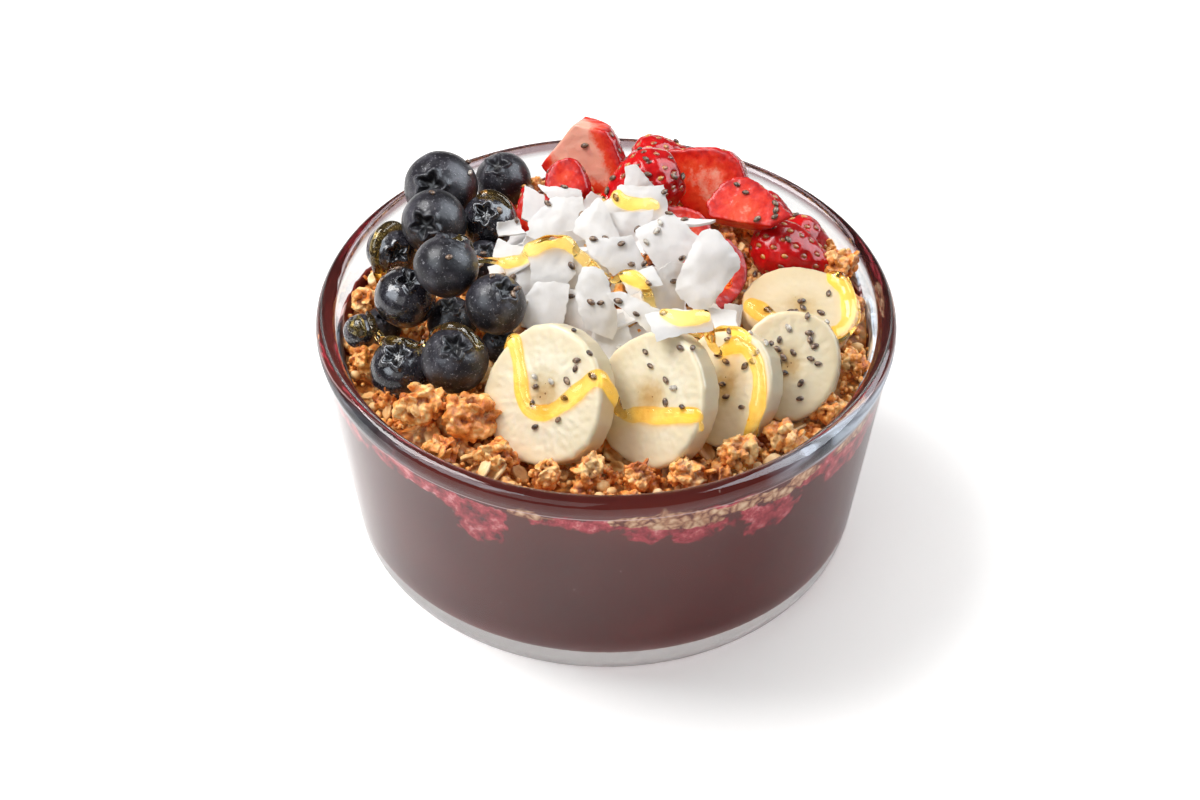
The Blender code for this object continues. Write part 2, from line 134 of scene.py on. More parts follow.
def new_material(name, **inputs):
    """A material with one Principled shader."""
    made = bpy.data.materials.new(name)
    made.use_nodes = True
    shader = made.node_tree.nodes["Principled BSDF"]
    feed(shader, **inputs)
    return made, made.node_tree, shader


def around(azimuth, elevation, distance):
    """A point round the bowl."""
    flat = math.cos(elevation) * distance
    return Vector((flat * math.sin(azimuth), -flat * math.cos(azimuth), distance * math.sin(elevation)))


def softbox(name, azimuth, elevation, distance, size, power):
    bpy.ops.object.light_add(type="AREA", location=CAMERA_TARGET + around(azimuth, elevation, distance))
    lamp = bpy.context.object
    lamp.name = name
    lamp.data.size = size
    lamp.data.energy = power
    lamp.rotation_mode = "QUATERNION"
    lamp.rotation_quaternion = (CAMERA_TARGET - lamp.location).to_track_quat("-Z", "Y")
    return lamp


bpy.ops.object.select_all(action="DESELECT")
bpy.ops.object.camera_add()
camera = bpy.context.object
camera.data.lens = CAMERA_LENS
camera.data.sensor_width = 36.0
camera.data.clip_start = 0.01
place = CAMERA_TARGET + around(0.0, CAMERA_ELEVATION, CAMERA_DISTANCE)
look = (CAMERA_TARGET - place).to_track_quat("-Z", "Y").to_matrix().to_4x4()
camera.matrix_world = Matrix.Translation(place) @ look @ Matrix.Rotation(CAMERA_ROLL, 4, "Z")
bpy.context.scene.camera = camera
bpy.context.scene.view_settings.view_transform = "Standard"

softbox("key_softbox", SOFTBOX_AZIMUTH, SOFTBOX_ELEVATION, SOFTBOX_DISTANCE, SOFTBOX_SIZE, SOFTBOX_POWER)
softbox("front_fill", math.radians(-25), math.radians(35), 1.4, 0.9, FILL_POWER)
ceiling = softbox("ceiling_panel", math.radians(180), math.radians(72), 1.5, 1.8, CEILING_POWER)
ceiling.visible_glossy = False           # it is soft and far away, so neither the wet surfaces
ceiling.visible_transmission = False     # nor the glass show it
for name, side, size, share in (("right_window", 100, 1.3, 1.0), ("left_window", -62, 0.75, 0.25)):
    window = softbox(name, math.radians(side), math.radians(42), 1.2, size, WINDOW_POWER * share)
    window.data.color = (0.84, 0.92, 1.0)
    window.visible_diffuse = False       # it only shows as a reflection

studio = bpy.data.worlds.new("pale studio")
bpy.context.scene.world = studio
studio.use_nodes = True
sky = studio.node_tree.nodes["Background"]
sky.inputs["Color"].default_value = linear("FFFFFF")
sky.inputs["Strength"].default_value = STUDIO_BRIGHTNESS

bpy.ops.mesh.primitive_plane_add(size=FLOOR_SIZE, location=(0, 0, -FLOOR_BELOW))
floor = bpy.context.object
floor.name = "table"
sheet, tree, shader = new_material("white paper", Roughness=0.9, Base_Color=linear("FDFCFB"))
seen = add(tree, "LightPath")
spot = add(tree, "TexCoord")
away = add(tree, "VectorMath", spot, operation="LENGTH")
# Painted glow under the bowl, which only rays through the glass see.
under = add(tree, "Math", away, PAINTED_GLOW_RADIUS, operation="LESS_THAN")
through = add(tree, "Math", seen.outputs["Is Transmission Ray"], under, operation="MULTIPLY")
below = add(tree, "Math", through, PAINTED_GLOW_UNDER_BOWL, operation="MULTIPLY")
glow = add(tree, "Math", seen.outputs["Is Camera Ray"], SHEET_GLOW, below, operation="MULTIPLY_ADD")
feed(shader, Emission_Color=linear("FFFDFB"), Emission_Strength=glow)
floor.data.materials.append(sheet)

# ------------------------------------------------------------------ glass bowl
# A round storage bowl of clear pressed glass: a thick base with round corners, a plain wall
# that leans out and a fire-polished rim bead.

GLASS_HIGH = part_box("glass_bowl")[1]
RIM_RADIUS = GLASS_HIGH.x
RIM_HEIGHT = GLASS_HIGH.z
RIM_THICKNESS = 5.3 * MM
RIM_DEPTH = 6.4 * MM
WALL = 4.3 * MM
WALL_TOP = (74.8 * MM, 64.5 * MM)
WALL_FOOT = (67.3 * MM, 9.5 * MM)
BASE_CORNER = 11.0 * MM
BASE_THICKNESS = 6.0 * MM
FLOOR_CORNER = 14.0 * MM
GLASS_SIDES = 160
UNDERSIDE_FROST = 0.55       # roughness of the underside
LEAN = math.atan2(WALL_TOP[0] - WALL_FOOT[0], WALL_TOP[1] - WALL_FOOT[1])


def wall_radius(height, inset=0.0):
    """Radius of the wall's outside at a height, less an inset square to the wall."""
    return WALL_FOOT[0] + (height - WALL_FOOT[1]) * math.tan(LEAN) - inset / math.cos(LEAN)


def arc(centre, size, start, end, steps):
    """Points of an arc in the (radius, height) half plane; size is one radius or two."""
    wide, high = size if isinstance(size, tuple) else (size, size)
    turns = [math.radians(start + (end - start) * step / steps) for step in range(steps + 1)]
    return [(centre[0] + wide * math.cos(turn), centre[1] + high * math.sin(turn)) for turn in turns]


def turned(name, outline, sides):
    """A turned piece: a disc, extruded and scaled from ring to ring up its outline."""
    start = outline[0]
    bpy.ops.object.select_all(action="DESELECT")
    bpy.ops.mesh.primitive_circle_add(vertices=sides, radius=start[0], fill_type="NGON",
                                      location=(0, 0, start[1]))
    made = bpy.context.object
    made.name = name
    bpy.ops.object.transform_apply(location=True)
    bpy.ops.object.mode_set(mode="EDIT")
    bpy.ops.mesh.select_mode(type="EDGE")
    for before, after in zip(outline, outline[1:]):
        bpy.ops.mesh.extrude_edges_move(TRANSFORM_OT_translate={"value": (0, 0, after[1] - before[1])})
        share = after[0] / before[0]
        bpy.ops.transform.resize(value=(share, share, 1), center_override=(0, 0, after[1]))
    bpy.ops.mesh.edge_face_add()
    bpy.ops.mesh.select_all(action="SELECT")
    bpy.ops.mesh.normals_make_consistent(inside=False)
    bpy.ops.object.mode_set(mode="OBJECT")
    bpy.ops.object.shade_smooth_by_angle(angle=math.radians(30))
    return made


def inner_wall(inset, top, steps=8):
    """The bowl's inside from its floor up to a height, moved inwards by an inset."""
    floor_height = BASE_THICKNESS + inset
    corner = FLOOR_CORNER - inset
    height = floor_height + corner * (1 - math.sin(LEAN))
    centre = (wall_radius(height, WALL + inset) - corner * math.cos(LEAN), floor_height + corner)
    return arc(centre, corner, -90, -math.degrees(LEAN), steps) + [(wall_radius(top, WALL + inset), top)]


def finish(piece, material, replaced=()):
    """Give a finished piece its material, its body and the nodes that it stands for."""
    piece.data.materials.clear()
    piece.data.materials.append(material)
    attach(piece, "root")
    if replaced:
        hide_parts(*replaced)


corner_centre = (WALL_FOOT[0] - BASE_CORNER * math.cos(LEAN), BASE_CORNER)
outline = arc(corner_centre, BASE_CORNER, -90, -math.degrees(LEAN), 12)
outline.append(WALL_TOP)
bead = (RIM_RADIUS - RIM_THICKNESS / 2, RIM_HEIGHT - RIM_DEPTH / 2)
outline += arc(bead, (RIM_THICKNESS / 2, RIM_DEPTH / 2), -25, 185, 20)
outline += reversed(inner_wall(0.0, WALL_TOP[1]))
bowl = turned("clear_glass_bowl", outline, GLASS_SIDES)

# Pressed soda-lime glass: sharp reflections and a nearly colourless body; its underside is
# frosted by the mould, which spreads the sheet's painted glow under the bowl and so brightens
# the base, and the far half of its rim bead has a painted dark tint, painted shade seen through
# it.  The Transparent shader lets the lamps' light through to the food.
# A pattern's scale is how many of its lumps lie in a millimetre, here 0.06: one in 17 mm.
glass, tree, shader = new_material("clear pressed glass", Base_Color=linear("F7FAFA"), Roughness=0.0,
                                   IOR=1.5, Transmission_Weight=1.0)
place = add(tree, "TexCoord")
seeds = add(tree, "TexNoise", Vector=place, Scale=0.06 / MM, Detail=1.0)
clear = add(tree, "ValToRGB", Fac=seeds, stops=((0.3, "EEF0F0"), (0.7, "F3F4F4")))
apart = add(tree, "SeparateXYZ", Vector=place)
# Painted shade: the upper bead on the far half is tinted dark.
bead_part = add(tree, "MapRange", Value=apart.outputs["Z"], From_Min=RIM_HEIGHT - RIM_DEPTH * 0.4,
                From_Max=RIM_HEIGHT - RIM_DEPTH * 0.15)
far_part = add(tree, "MapRange", Value=apart.outputs["Y"], From_Min=-20 * MM, From_Max=20 * MM)
far_bead_shade_mask = add(tree, "Math", bead_part, far_part, operation="MULTIPLY")
clear_with_painted_far_shade = add(tree, "MixRGB", Fac=far_bead_shade_mask, Color1=clear, Color2=linear("685054"))
frost = add(tree, "MapRange", Value=apart.outputs["Z"], From_Min=0.1 * MM, From_Max=0.6 * MM,
            To_Min=UNDERSIDE_FROST, To_Max=0.0)
feed(shader, Base_Color=clear_with_painted_far_shade, Roughness=frost)
path = add(tree, "LightPath")
passing = add(tree, "BsdfTransparent", Color=linear("F2F5F5"))
mixed = add(tree, "MixShader", path.outputs["Is Shadow Ray"], shader, passing)
feed(tree.nodes["Material Output"], Surface=mixed)
finish(bowl, glass, ["glass_bowl"])

# ------------------------------------------------------------------ acai puree
# Blended frozen acai, poured in and smooth against the glass, which it wets.  Under the rim it
# has risen round the granola, with red fruit pulp and a few grains caught against the glass.

ACAI_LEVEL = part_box("acai")[1].z
WETTING = 0.25 * MM          # how far the puree reaches into the glass
SMEAR_TOP = 69.5 * MM        # highest that it can stand up the wall
SMEAR_RISE = 0.8 * MM        # how far it stands over the granola at the back
SMEAR_FRONT = 105            # it stands higher up to so many degrees from the front
SMEAR_SIDES = 66.3 * MM      # on both sides of the foremost part
FLOOR_CLEAR = 0.3 * MM       # it has shrunk from the cold floor of the bowl by this much
SMEAR_THICKNESS = 1.4 * MM
FOREMOST = -0.06             # azimuth in radians of the middle of the foremost part
HIGHLIGHT_LINE_HEIGHT = 64.3 * MM      # a painted highlight: a pale line where the wall runs into the rim
HIGHLIGHT_LINE_WIDTH = 0.44 * MM
# Patches of red pulp, and of granola pressed against the glass: azimuth in degrees to the
# right of the front, height, half width along the wall and half height, in millimetres.
PULP = ((10, 58, 9, 3.4), (17, 55.5, 7, 4), (29, 57, 9, 5), (36, 54, 11, 6.5), (46, 60, 10, 4.5),
        (54, 58, 8, 5), (64, 57, 11, 5), (-26, 61, 10, 3), (-24.5, 53.5, 8, 6), (-5, 62, 12, 3),
        (-48, 62, 10, 3), (-36, 61, 9, 3.5), (-62, 61, 9, 2.5), (24, 62, 10, 3), (110, 58, 11, 4),
        (150, 59, 14, 3), (-120, 58, 12, 4), (-80, 60, 9, 3))
PRESSED = ((8, 63.5, 9, 2.4), (17, 61.5, 9, 3), (27, 61, 9, 3), (37, 60, 9, 3.4), (44, 62, 7, 2.6),
           (60, 62, 8, 2.4), (-15, 63.5, 7, 1.5), (100, 60, 8, 3), (160, 60, 9, 3), (-140, 60, 9, 3))


def names_called(*starts):
    """The CAD nodes' names that start in one of these ways, sorted."""
    return [name for name in sorted(nodes) if name.startswith(starts)]


def nodes_called(*starts):
    return [nodes[name] for name in names_called(*starts)]


def tree_of(pieces):
    """Search tree of some pieces' surfaces."""
    points, faces, count = [], [], 0
    for piece in pieces:
        points += [vertex.co.copy() for vertex in piece.data.vertices]
        faces += [[index + count for index in face.vertices] for face in piece.data.polygons]
        count = len(points)
    return BVHTree.FromPolygons(points, faces)


heap = tree_of(nodes_called("granola"))


def heap_top(x, y):
    hit = heap.ray_cast(Vector((x, y, 0.2)), Vector((0, 0, -1)))
    return hit[0].z if hit[0] else None


def points_of(piece):
    points = np.empty(len(piece.data.vertices) * 3)
    piece.data.vertices.foreach_get("co", points)
    return points.reshape(-1, 3)


def put_points(piece, points):
    piece.data.vertices.foreach_set("co", np.asarray(points, np.float32).ravel())
    piece.data.update()


def rough(points, size, seed=0.0, detail=3):
    """Smooth unevenness from -1 to 1 at each point; size is the width of its lumps."""
    shift = Vector((seed * 7.3, seed * 3.1, seed * 5.7))
    return np.array([noise.fractal(Vector(point) / size + shift, 1.0, 2.0, detail) for point in points])


def note(piece, name, values):
    """Write an attribute on a piece's points, for its material to read."""
    kind = "FLOAT_VECTOR" if np.ndim(values) == 2 else "FLOAT"
    made = piece.data.attributes.new(name, kind, "POINT")
    made.data.foreach_set("vector" if kind == "FLOAT_VECTOR" else "value",
                          np.asarray(values, np.float32).ravel())


outline = inner_wall(-WETTING, ACAI_LEVEL - 14 * MM, 14)
for step in range(6):
    reach, height = outline[step]
    outline[step] = (reach, height + (WETTING + FLOOR_CLEAR) * (1 - step / 6))
steps = int((SMEAR_TOP - outline[-1][1]) / MM)
for step in range(1, steps + 1):
    height = outline[-1][1] + (SMEAR_TOP - outline[-1][1]) / (steps + 1 - step)
    outline.append((wall_radius(height, WALL - WETTING), height))
outline.append((wall_radius(SMEAR_TOP, WALL + SMEAR_THICKNESS / 2), SMEAR_TOP + 0.4 * MM))
outline.append((wall_radius(SMEAR_TOP - MM, WALL + SMEAR_THICKNESS), SMEAR_TOP - MM))
outline.append((wall_radius(ACAI_LEVEL, WALL + SMEAR_THICKNESS), ACAI_LEVEL))
outline.append((40 * MM, ACAI_LEVEL))
acai = turned("acai_puree", outline, 2 * GLASS_SIDES)
points = points_of(acai)
azimuth = np.arctan2(points[:, 0], -points[:, 1])
wall_top = np.array([heap_top(*(point[:2] * 0.972)) or ACAI_LEVEL for point in points])
front = np.clip((SMEAR_FRONT - np.degrees(np.abs(azimuth))) / 25, 0, 1)
uneven = rough(points, 5 * MM, 2) * MM
foremost = np.clip((48 - np.degrees(np.abs(azimuth - FOREMOST))) / 18, 0, 1)
crest = SMEAR_SIDES + (SMEAR_TOP - 0.4 * MM - SMEAR_SIDES) * foremost + 0.5 * uneven
wall_top = (wall_top + SMEAR_RISE + 0.9 * uneven) * (1 - front) + crest * front
wall_top = np.clip(wall_top, ACAI_LEVEL + MM, SMEAR_TOP)
rises = np.clip((points[:, 2] - ACAI_LEVEL) / (SMEAR_TOP - ACAI_LEVEL), 0, 1)
lower = (SMEAR_TOP - wall_top) * rises
radius = np.hypot(points[:, 0], points[:, 1])
shrink = 1 - lower * math.tan(LEAN) / radius
points = np.column_stack([points[:, 0] * shrink, points[:, 1] * shrink, points[:, 2] - lower])
put_points(acai, points)
for name, patches in (("pulp", PULP), ("pressed", PRESSED)):
    share = np.zeros(len(points))
    for turn, height, half_width, half_height in patches:
        along = (azimuth - math.radians(turn) + math.pi) % (2 * math.pi) - math.pi
        rise = points[:, 2] - height * MM
        away = np.hypot(along * radius / (half_width * MM), rise / (half_height * MM))
        share = np.maximum(share, np.clip(1.3 - away, 0, 1))
    note(acai, name, share * (radius > 50 * MM))
# Masks for the painted reflection inside the rim: the top of the film away from the front, and how far
# to the right each point lies, where the painted reflection is lighter.
foremost = np.clip((52 - np.degrees(np.abs(azimuth - FOREMOST))) / 16, 0, 1)
note(acai, "thin", np.clip((points[:, 2] - 64.2 * MM) / MM, 0, 1) * (1 - foremost))
note(acai, "right", 0.5 + 0.5 * np.sin(azimuth))

# Puree: dark red-brown and smooth, cloudy, with fine pale air bubbles; the pulp is rosy red.
puree, tree, shader = new_material("blended acai", Roughness=0.4, IOR=1.36, Specular_IOR_Level=0.1)
place = add(tree, "TexCoord")
cloud = add(tree, "TexNoise", Vector=place, Scale=0.022 / MM, Detail=3.0)
body = add(tree, "ValToRGB", Fac=cloud, stops=((0.3, "5A1F1B"), (0.7, "702A23")))
bubbles = add(tree, "TexVoronoi", Vector=place, Scale=0.42 / MM)
bubble = add(tree, "ValToRGB", Fac=bubbles, stops=((0.0, "FFFFFF"), (0.13, "000000")))
sparse = add(tree, "TexNoise", Vector=place, Scale=0.33 / MM, Detail=0.0)
some = add(tree, "Math", sparse, 0.66, operation="GREATER_THAN")
airy = add(tree, "Math", bubble, some, operation="MULTIPLY")
speckled = add(tree, "MixRGB", Fac=airy, Color1=body, Color2=linear("B98E82"))
threads = add(tree, "TexNoise", Vector=place, Scale=0.26 / MM, Detail=5.0, Roughness=0.65)
clumps = add(tree, "TexNoise", Vector=place, Scale=0.11 / MM, Detail=3.0, Roughness=0.6)
edge = add(tree, "Math", clumps, 3.2, -1.6, operation="MULTIPLY_ADD")


def ragged(name, low, high):
    """Where the puree's patches noted under a name are, with ragged edges."""
    where = add(tree, "Attribute", attribute_name=name)
    shape = add(tree, "Math", where, edge, operation="ADD")
    mask = add(tree, "ValToRGB", Fac=shape, stops=((low, "000000"), (high, "FFFFFF")))
    near = add(tree, "Math", where, 6.0, operation="MULTIPLY", use_clamp=True)
    return add(tree, "Math", near, mask, operation="MULTIPLY")


flesh = add(tree, "ValToRGB", Fac=threads, stops=((0.34, "5E1016"), (0.46, "A82832"),
                                                  (0.56, "CC4450"), (0.68, "EE9A9A")))
pulpy = add(tree, "MixRGB", Fac=ragged("pulp", 0.3, 0.46), Color1=speckled, Color2=flesh)
# Granola against the glass: beige grains two or three millimetres wide with juice between.
grains = add(tree, "TexVoronoi", Vector=place, Scale=0.38 / MM, feature="DISTANCE_TO_EDGE")
tone = add(tree, "Math", grains, 0.8, threads, operation="MULTIPLY_ADD")
oats = add(tree, "ValToRGB", Fac=tone, stops=((0.42, "6E2C22"), (0.56, "B97E5C"), (0.72, "DDB48E"),
                                              (0.9, "F0D2B0")))
colour = add(tree, "MixRGB", Fac=ragged("pressed", 0.34, 0.44), Color1=pulpy, Color2=oats)
# The puree film inside the rim, left and right, is thin; over it are painted grey-blue
# streaks, a painted reflection, lighter towards the right.  A painted pale line, a highlight,
# shows where the wall runs into the rim.
stretch = add(tree, "Mapping", Vector=place, Scale=(0.05 / MM, 0.05 / MM, 1.9 / MM))
reflection_streak_noise = add(tree, "TexNoise", Vector=stretch, Scale=1.0, Detail=3.0)
right = add(tree, "Attribute", attribute_name="right")
grey = add(tree, "Math", right, 0.35, reflection_streak_noise, operation="MULTIPLY_ADD")
painted_reflection_streaks = add(tree, "ValToRGB", Fac=grey, stops=((0.42, "17181B"), (0.62, "55565C"), (0.78, "A9B0BA"),
                                              (0.92, "D5DCE4")))
thin = add(tree, "Attribute", attribute_name="thin")
puree_with_painted_reflection = add(tree, "MixRGB", Fac=thin, Color1=colour, Color2=painted_reflection_streaks)
apart = add(tree, "SeparateXYZ", Vector=place)
# Painted highlight: a pale line along the top of the wall.
highlight_line = add(tree, "Math", apart.outputs["Z"], HIGHLIGHT_LINE_HEIGHT, HIGHLIGHT_LINE_WIDTH / 2, operation="COMPARE")
faint = add(tree, "Math", highlight_line, 0.55, operation="MULTIPLY")
with_painted_highlight_line = add(tree, "MixRGB", Fac=faint, Color1=puree_with_painted_reflection, Color2=linear("E2C6C2"))
feed(shader, Base_Color=with_painted_highlight_line)
finish(acai, puree, ["acai"])

# ------------------------------------------------------------------ granola
# Baked granola, heaped over the puree: crumbs and grains glued by syrup into clusters, toasted
# oat flakes, puffed grains and loose crumbs, over a packed core with a crumbly surface.

CORE_DROP = 1.3 * MM         # how far the core lies under the heap's outline
CRUMB_WIDTH = 2.2 * MM
CRUMB_RELIEF = 1.0 * MM
CHUNK_LIFT = 0.85            # of half their size
# The largest clusters: x, y and half their size, in millimetres.
CHUNKS = ((-34, -43, 8.0), (-47, -41, 6.6), (-27, -55, 5.5), (-41, -51, 4.6), (-15, -60, 4.6),
          (-4, -60, 5.0), (8, -61, 4.6), (20, -60, 5.0), (33, -55, 5.6), (45, -46, 5.6), (57, -32, 5.0),
          (64, -17, 4.2), (64, 3, 4.8), (62, 21, 5.5), (59, 32, 4.0), (-63, 8, 4.8), (-62, -15, 4.6),
          (-56, -28, 5.0), (-20, 60, 4.2), (30, 58, 4.2))


def in_scene(name, mesh):
    """A new piece with this mesh."""
    piece = bpy.data.objects.new(name, mesh)
    bpy.context.scene.collection.objects.link(piece)
    return piece


def merged(node):
    """A CAD node's mesh for editing, with its loose triangles joined."""
    work = bmesh.new()
    work.from_mesh(nodes[node].data)
    bmesh.ops.remove_doubles(work, verts=work.verts, dist=0.01 * MM)
    return work


def merged_copy(node, name):
    """A new piece in the shape of a CAD node."""
    piece = in_scene(name, nodes[node].data.copy())
    work = merged(node)
    work.to_mesh(piece.data)
    work.free()
    return piece


def pick(*pieces):
    """Select these pieces alone, the first one active."""
    bpy.ops.object.select_all(action="DESELECT")
    for piece in pieces:
        piece.select_set(True)
    bpy.context.view_layer.objects.active = pieces[0]


def modify(piece, kind, **settings):
    """Apply a modifier."""
    pick(piece)
    modifier = piece.modifiers.new(kind.lower(), kind)
    for name, value in settings.items():
        setattr(modifier, name, value)
    bpy.ops.object.modifier_apply(modifier=modifier.name)


def normals_of(piece):
    normals = np.empty(len(piece.data.vertices) * 3)
    piece.data.vertices.foreach_get("normal", normals)
    return normals.reshape(-1, 3)


def depths_of(piece):
    """How deep each point of a piece lies between its grains, where that was noted, for painted shade.
    """
    depths = np.zeros(len(piece.data.vertices), np.float32)
    if "hollow" in piece.data.attributes:
        piece.data.attributes["hollow"].data.foreach_get("value", depths)
    return depths


def copies(name, models, places):
    """One piece of many copies of some models, each at its own matrix; the models are removed."""
    points, faces, crevice_shade_depths, count = [], [], [], 0
    shapes = [(points_of(model), [list(face.vertices) for face in model.data.polygons], depths_of(model))
              for model in models]
    for number, place in enumerate(places):
        shape, sides, depths = shapes[number % len(shapes)]
        points.append(shape @ np.array(place.to_3x3()).T + np.array(place.translation))
        crevice_shade_depths.append(depths)
        faces += [[index + count for index in side] for side in sides]
        count += len(shape)
    mesh = bpy.data.meshes.new(name)
    mesh.from_pydata(np.concatenate(points).tolist(), [], faces)
    mesh.shade_smooth()
    made = in_scene(name, mesh)
    if np.concatenate(crevice_shade_depths).any():
        note(made, "hollow", np.concatenate(crevice_shade_depths))
    for model in models:
        bpy.data.objects.remove(model)
    return made


def standing(point, up, along, scale=1.0):
    """Matrix that stands a model on a point, its Z along up and its Y near along."""
    up = Vector(up).normalized()
    side = Vector(along).cross(up)
    if side.length < 1e-6:
        side = up.orthogonal()
    side.normalize()
    axes = Matrix((side, up.cross(side), up)).transposed().to_4x4()
    return Matrix.Translation(point) @ axes @ Matrix.Scale(scale, 4)


def tumbled(point, uneven, scale=1.0):
    """Matrix that drops a model at a point, turned any way."""
    turn = Matrix.Rotation(uneven.uniform(0, 2 * math.pi), 4, "X")
    turn = Matrix.Rotation(uneven.uniform(0, 2 * math.pi), 4, "Y") @ turn
    return Matrix.Translation(point) @ turn @ Matrix.Scale(scale, 4)


def any_way(uneven):
    """A random level direction."""
    return Vector((uneven.gauss(0, 1), uneven.gauss(0, 1), 0))


def ball(radius, subdivisions=1):
    bpy.ops.object.select_all(action="DESELECT")
    bpy.ops.mesh.primitive_ico_sphere_add(subdivisions=subdivisions, radius=radius)
    return bpy.context.object


def model_cluster(seed, size, grain, count, faces):
    """A baked cluster: grains pressed together into one lump, then baked uneven."""
    uneven = random.Random(seed)
    places = []
    squash = np.array((1.0, 0.8, 0.68))
    for _ in range(count):
        way = Vector([uneven.gauss(0, 1) for _ in range(3)]).normalized()
        out = uneven.uniform(0.1, 1.15) ** 0.5 * (size / 2 - 0.8 * grain)
        spot = Vector(np.array(way) * squash) * out
        places.append(tumbled(spot, uneven, uneven.uniform(0.5, 1.35)))
    stone, flake = ball(grain, 2), ball(grain, 2)
    put_points(stone, points_of(stone) * np.array((1.0, 0.9, 0.8)))
    put_points(flake, points_of(flake) * np.array((1.4, 1.1, 0.42)))
    lump = copies(f"cluster_{seed}", [stone, flake], places)
    modify(lump, "REMESH", mode="VOXEL", voxel_size=grain * 0.24)
    points = points_of(lump)
    grit = rough(points, grain * 0.7, seed, 3)
    put_points(lump, points + normals_of(lump) * (grit * grain * 0.27)[:, None])
    modify(lump, "DECIMATE", ratio=min(1.0, faces / len(lump.data.polygons) / 2))
    # How deep each point lies inside the lump, where the material paints shade.
    reach = np.linalg.norm(points_of(lump) / squash, axis=1) / (size / 2)
    note(lump, "hollow", np.clip((0.86 - reach) * 3.2, 0, 1))
    return lump


def model_oat(seed):
    """A rolled oat flake: a thin oval with a crease down its length, curled in the oven."""
    uneven = random.Random(seed)
    bpy.ops.object.select_all(action="DESELECT")
    bpy.ops.mesh.primitive_grid_add(x_subdivisions=6, y_subdivisions=8, size=2.0)
    oat = bpy.context.object
    points = points_of(oat)
    x, y = points[:, 0].copy(), points[:, 1].copy()
    rim = np.maximum(np.abs(x), np.abs(y)) / np.maximum(np.hypot(x, y), 1e-6)
    edge = 1 + 0.12 * rough(points, 0.6, seed)
    x, y = x * rim * edge * 1.7, y * rim * edge * 2.9
    curl = uneven.uniform(0.05, 0.16)
    z = curl * x * x - 0.5 * curl * y * y * 0.3 - 0.35 * np.exp(-(x / 0.35) ** 2)
    z += 0.25 * rough(np.stack([x, y, 0 * x], 1), 1.4, seed + 3)
    put_points(oat, np.stack([x, y, z], 1) * MM)
    modify(oat, "SOLIDIFY", thickness=0.7 * MM, offset=0.0)
    return oat


def model_puff(seed):
    """A puffed grain: a small dimpled ball."""
    puff = ball(1.0 * MM, 2)
    points = points_of(puff)
    swell = 1 + 0.22 * rough(points / MM, 1.1, seed, 2)
    put_points(puff, points * swell[:, None] * np.array((1.0, 0.9, 0.85)))
    return puff


toppings = tree_of(nodes_called("blueberry", "banana", "strawberry", "coconut"))


def clear_of_fruit(point, distance):
    near, normal, _, gap = toppings.find_nearest(point)
    return gap > distance and (Vector(point) - near).dot(normal) > 0


def strew(count, radius, lift, seed, spacing, spots):
    """Places for loose pieces of one size on the heap, clear of the fruit and of each other."""
    uneven = random.Random(seed)
    found = []
    for _ in range(count * 60):
        if len(found) == count:
            break
        turn = uneven.uniform(0, 2 * math.pi)
        out = math.sqrt(uneven.random())
        reach = wall_radius(ACAI_LEVEL + 4 * MM, WALL) - radius
        x, y = out * reach * math.cos(turn), out * reach * math.sin(turn)
        top = heap_top(x, y)
        point = Vector((x, y, top + lift * radius)) if top else None
        if point is None or not clear_of_fruit(point, radius * 0.75):
            continue
        if any((point - other).length < spacing * (radius + size) for other, size in spots):
            continue
        spots.append((point, radius))
        found.append(point)
    return found


# Toasted oats and syrup: matt golden brown, darker at random where the syrup has caramelised,
# with painted shade deep between the grains.
baked, tree, shader = new_material("baked oats and syrup", Roughness=0.55, IOR=1.45, Coat_Weight=0.12,
                                   Coat_Roughness=0.3)
place = add(tree, "TexCoord")
broad = add(tree, "TexNoise", Vector=place, Scale=0.11 / MM, Detail=2.0)
small = add(tree, "TexNoise", Vector=place, Scale=0.52 / MM, Detail=4.0, Roughness=0.65)
grains = add(tree, "TexVoronoi", Vector=place, Scale=0.33 / MM)
each = add(tree, "SeparateXYZ", Vector=grains.outputs["Color"])
own = add(tree, "Math", each.outputs["X"], 0.3, small, operation="MULTIPLY_ADD")
toast = add(tree, "Math", broad, 0.8, own, operation="MULTIPLY_ADD")
half = add(tree, "Math", toast, 0.475, operation="MULTIPLY")
brown = add(tree, "ValToRGB", Fac=half, stops=((0.34, "9E4510"), (0.42, "DA7C2C"), (0.5, "F8A44C"),
                                               (0.58, "FFD08A")))
# Painted shade: darker brown deep between the grains.
hollow = add(tree, "Attribute", attribute_name="hollow")
crevice_shade_share = add(tree, "Math", hollow, 0.6, operation="MULTIPLY")
brown_with_painted_shade = add(tree, "MixRGB", Fac=crevice_shade_share, Color1=brown, Color2=linear("6A2C0E"))
feed(shader, Base_Color=brown_with_painted_shade)
feed(shader, Normal=add(tree, "Bump", Height=small, Distance=0.4 * MM, Strength=0.8))

# Oat flakes and puffed grains are the same but paler, with less syrup on them.
toasted, tree, shader = new_material("toasted oat flakes", Roughness=0.6, IOR=1.45)
place = add(tree, "TexCoord")
broad = add(tree, "TexNoise", Vector=place, Scale=0.15 / MM, Detail=3.0)
pale = add(tree, "ValToRGB", Fac=broad, stops=((0.35, "CC8A44"), (0.5, "EEBE7C"), (0.65, "FBE0B0")))
feed(shader, Base_Color=pale)
small = add(tree, "TexNoise", Vector=place, Scale=0.9 / MM, Detail=3.0)
feed(shader, Normal=add(tree, "Bump", Height=small, Distance=0.15 * MM, Strength=0.5))

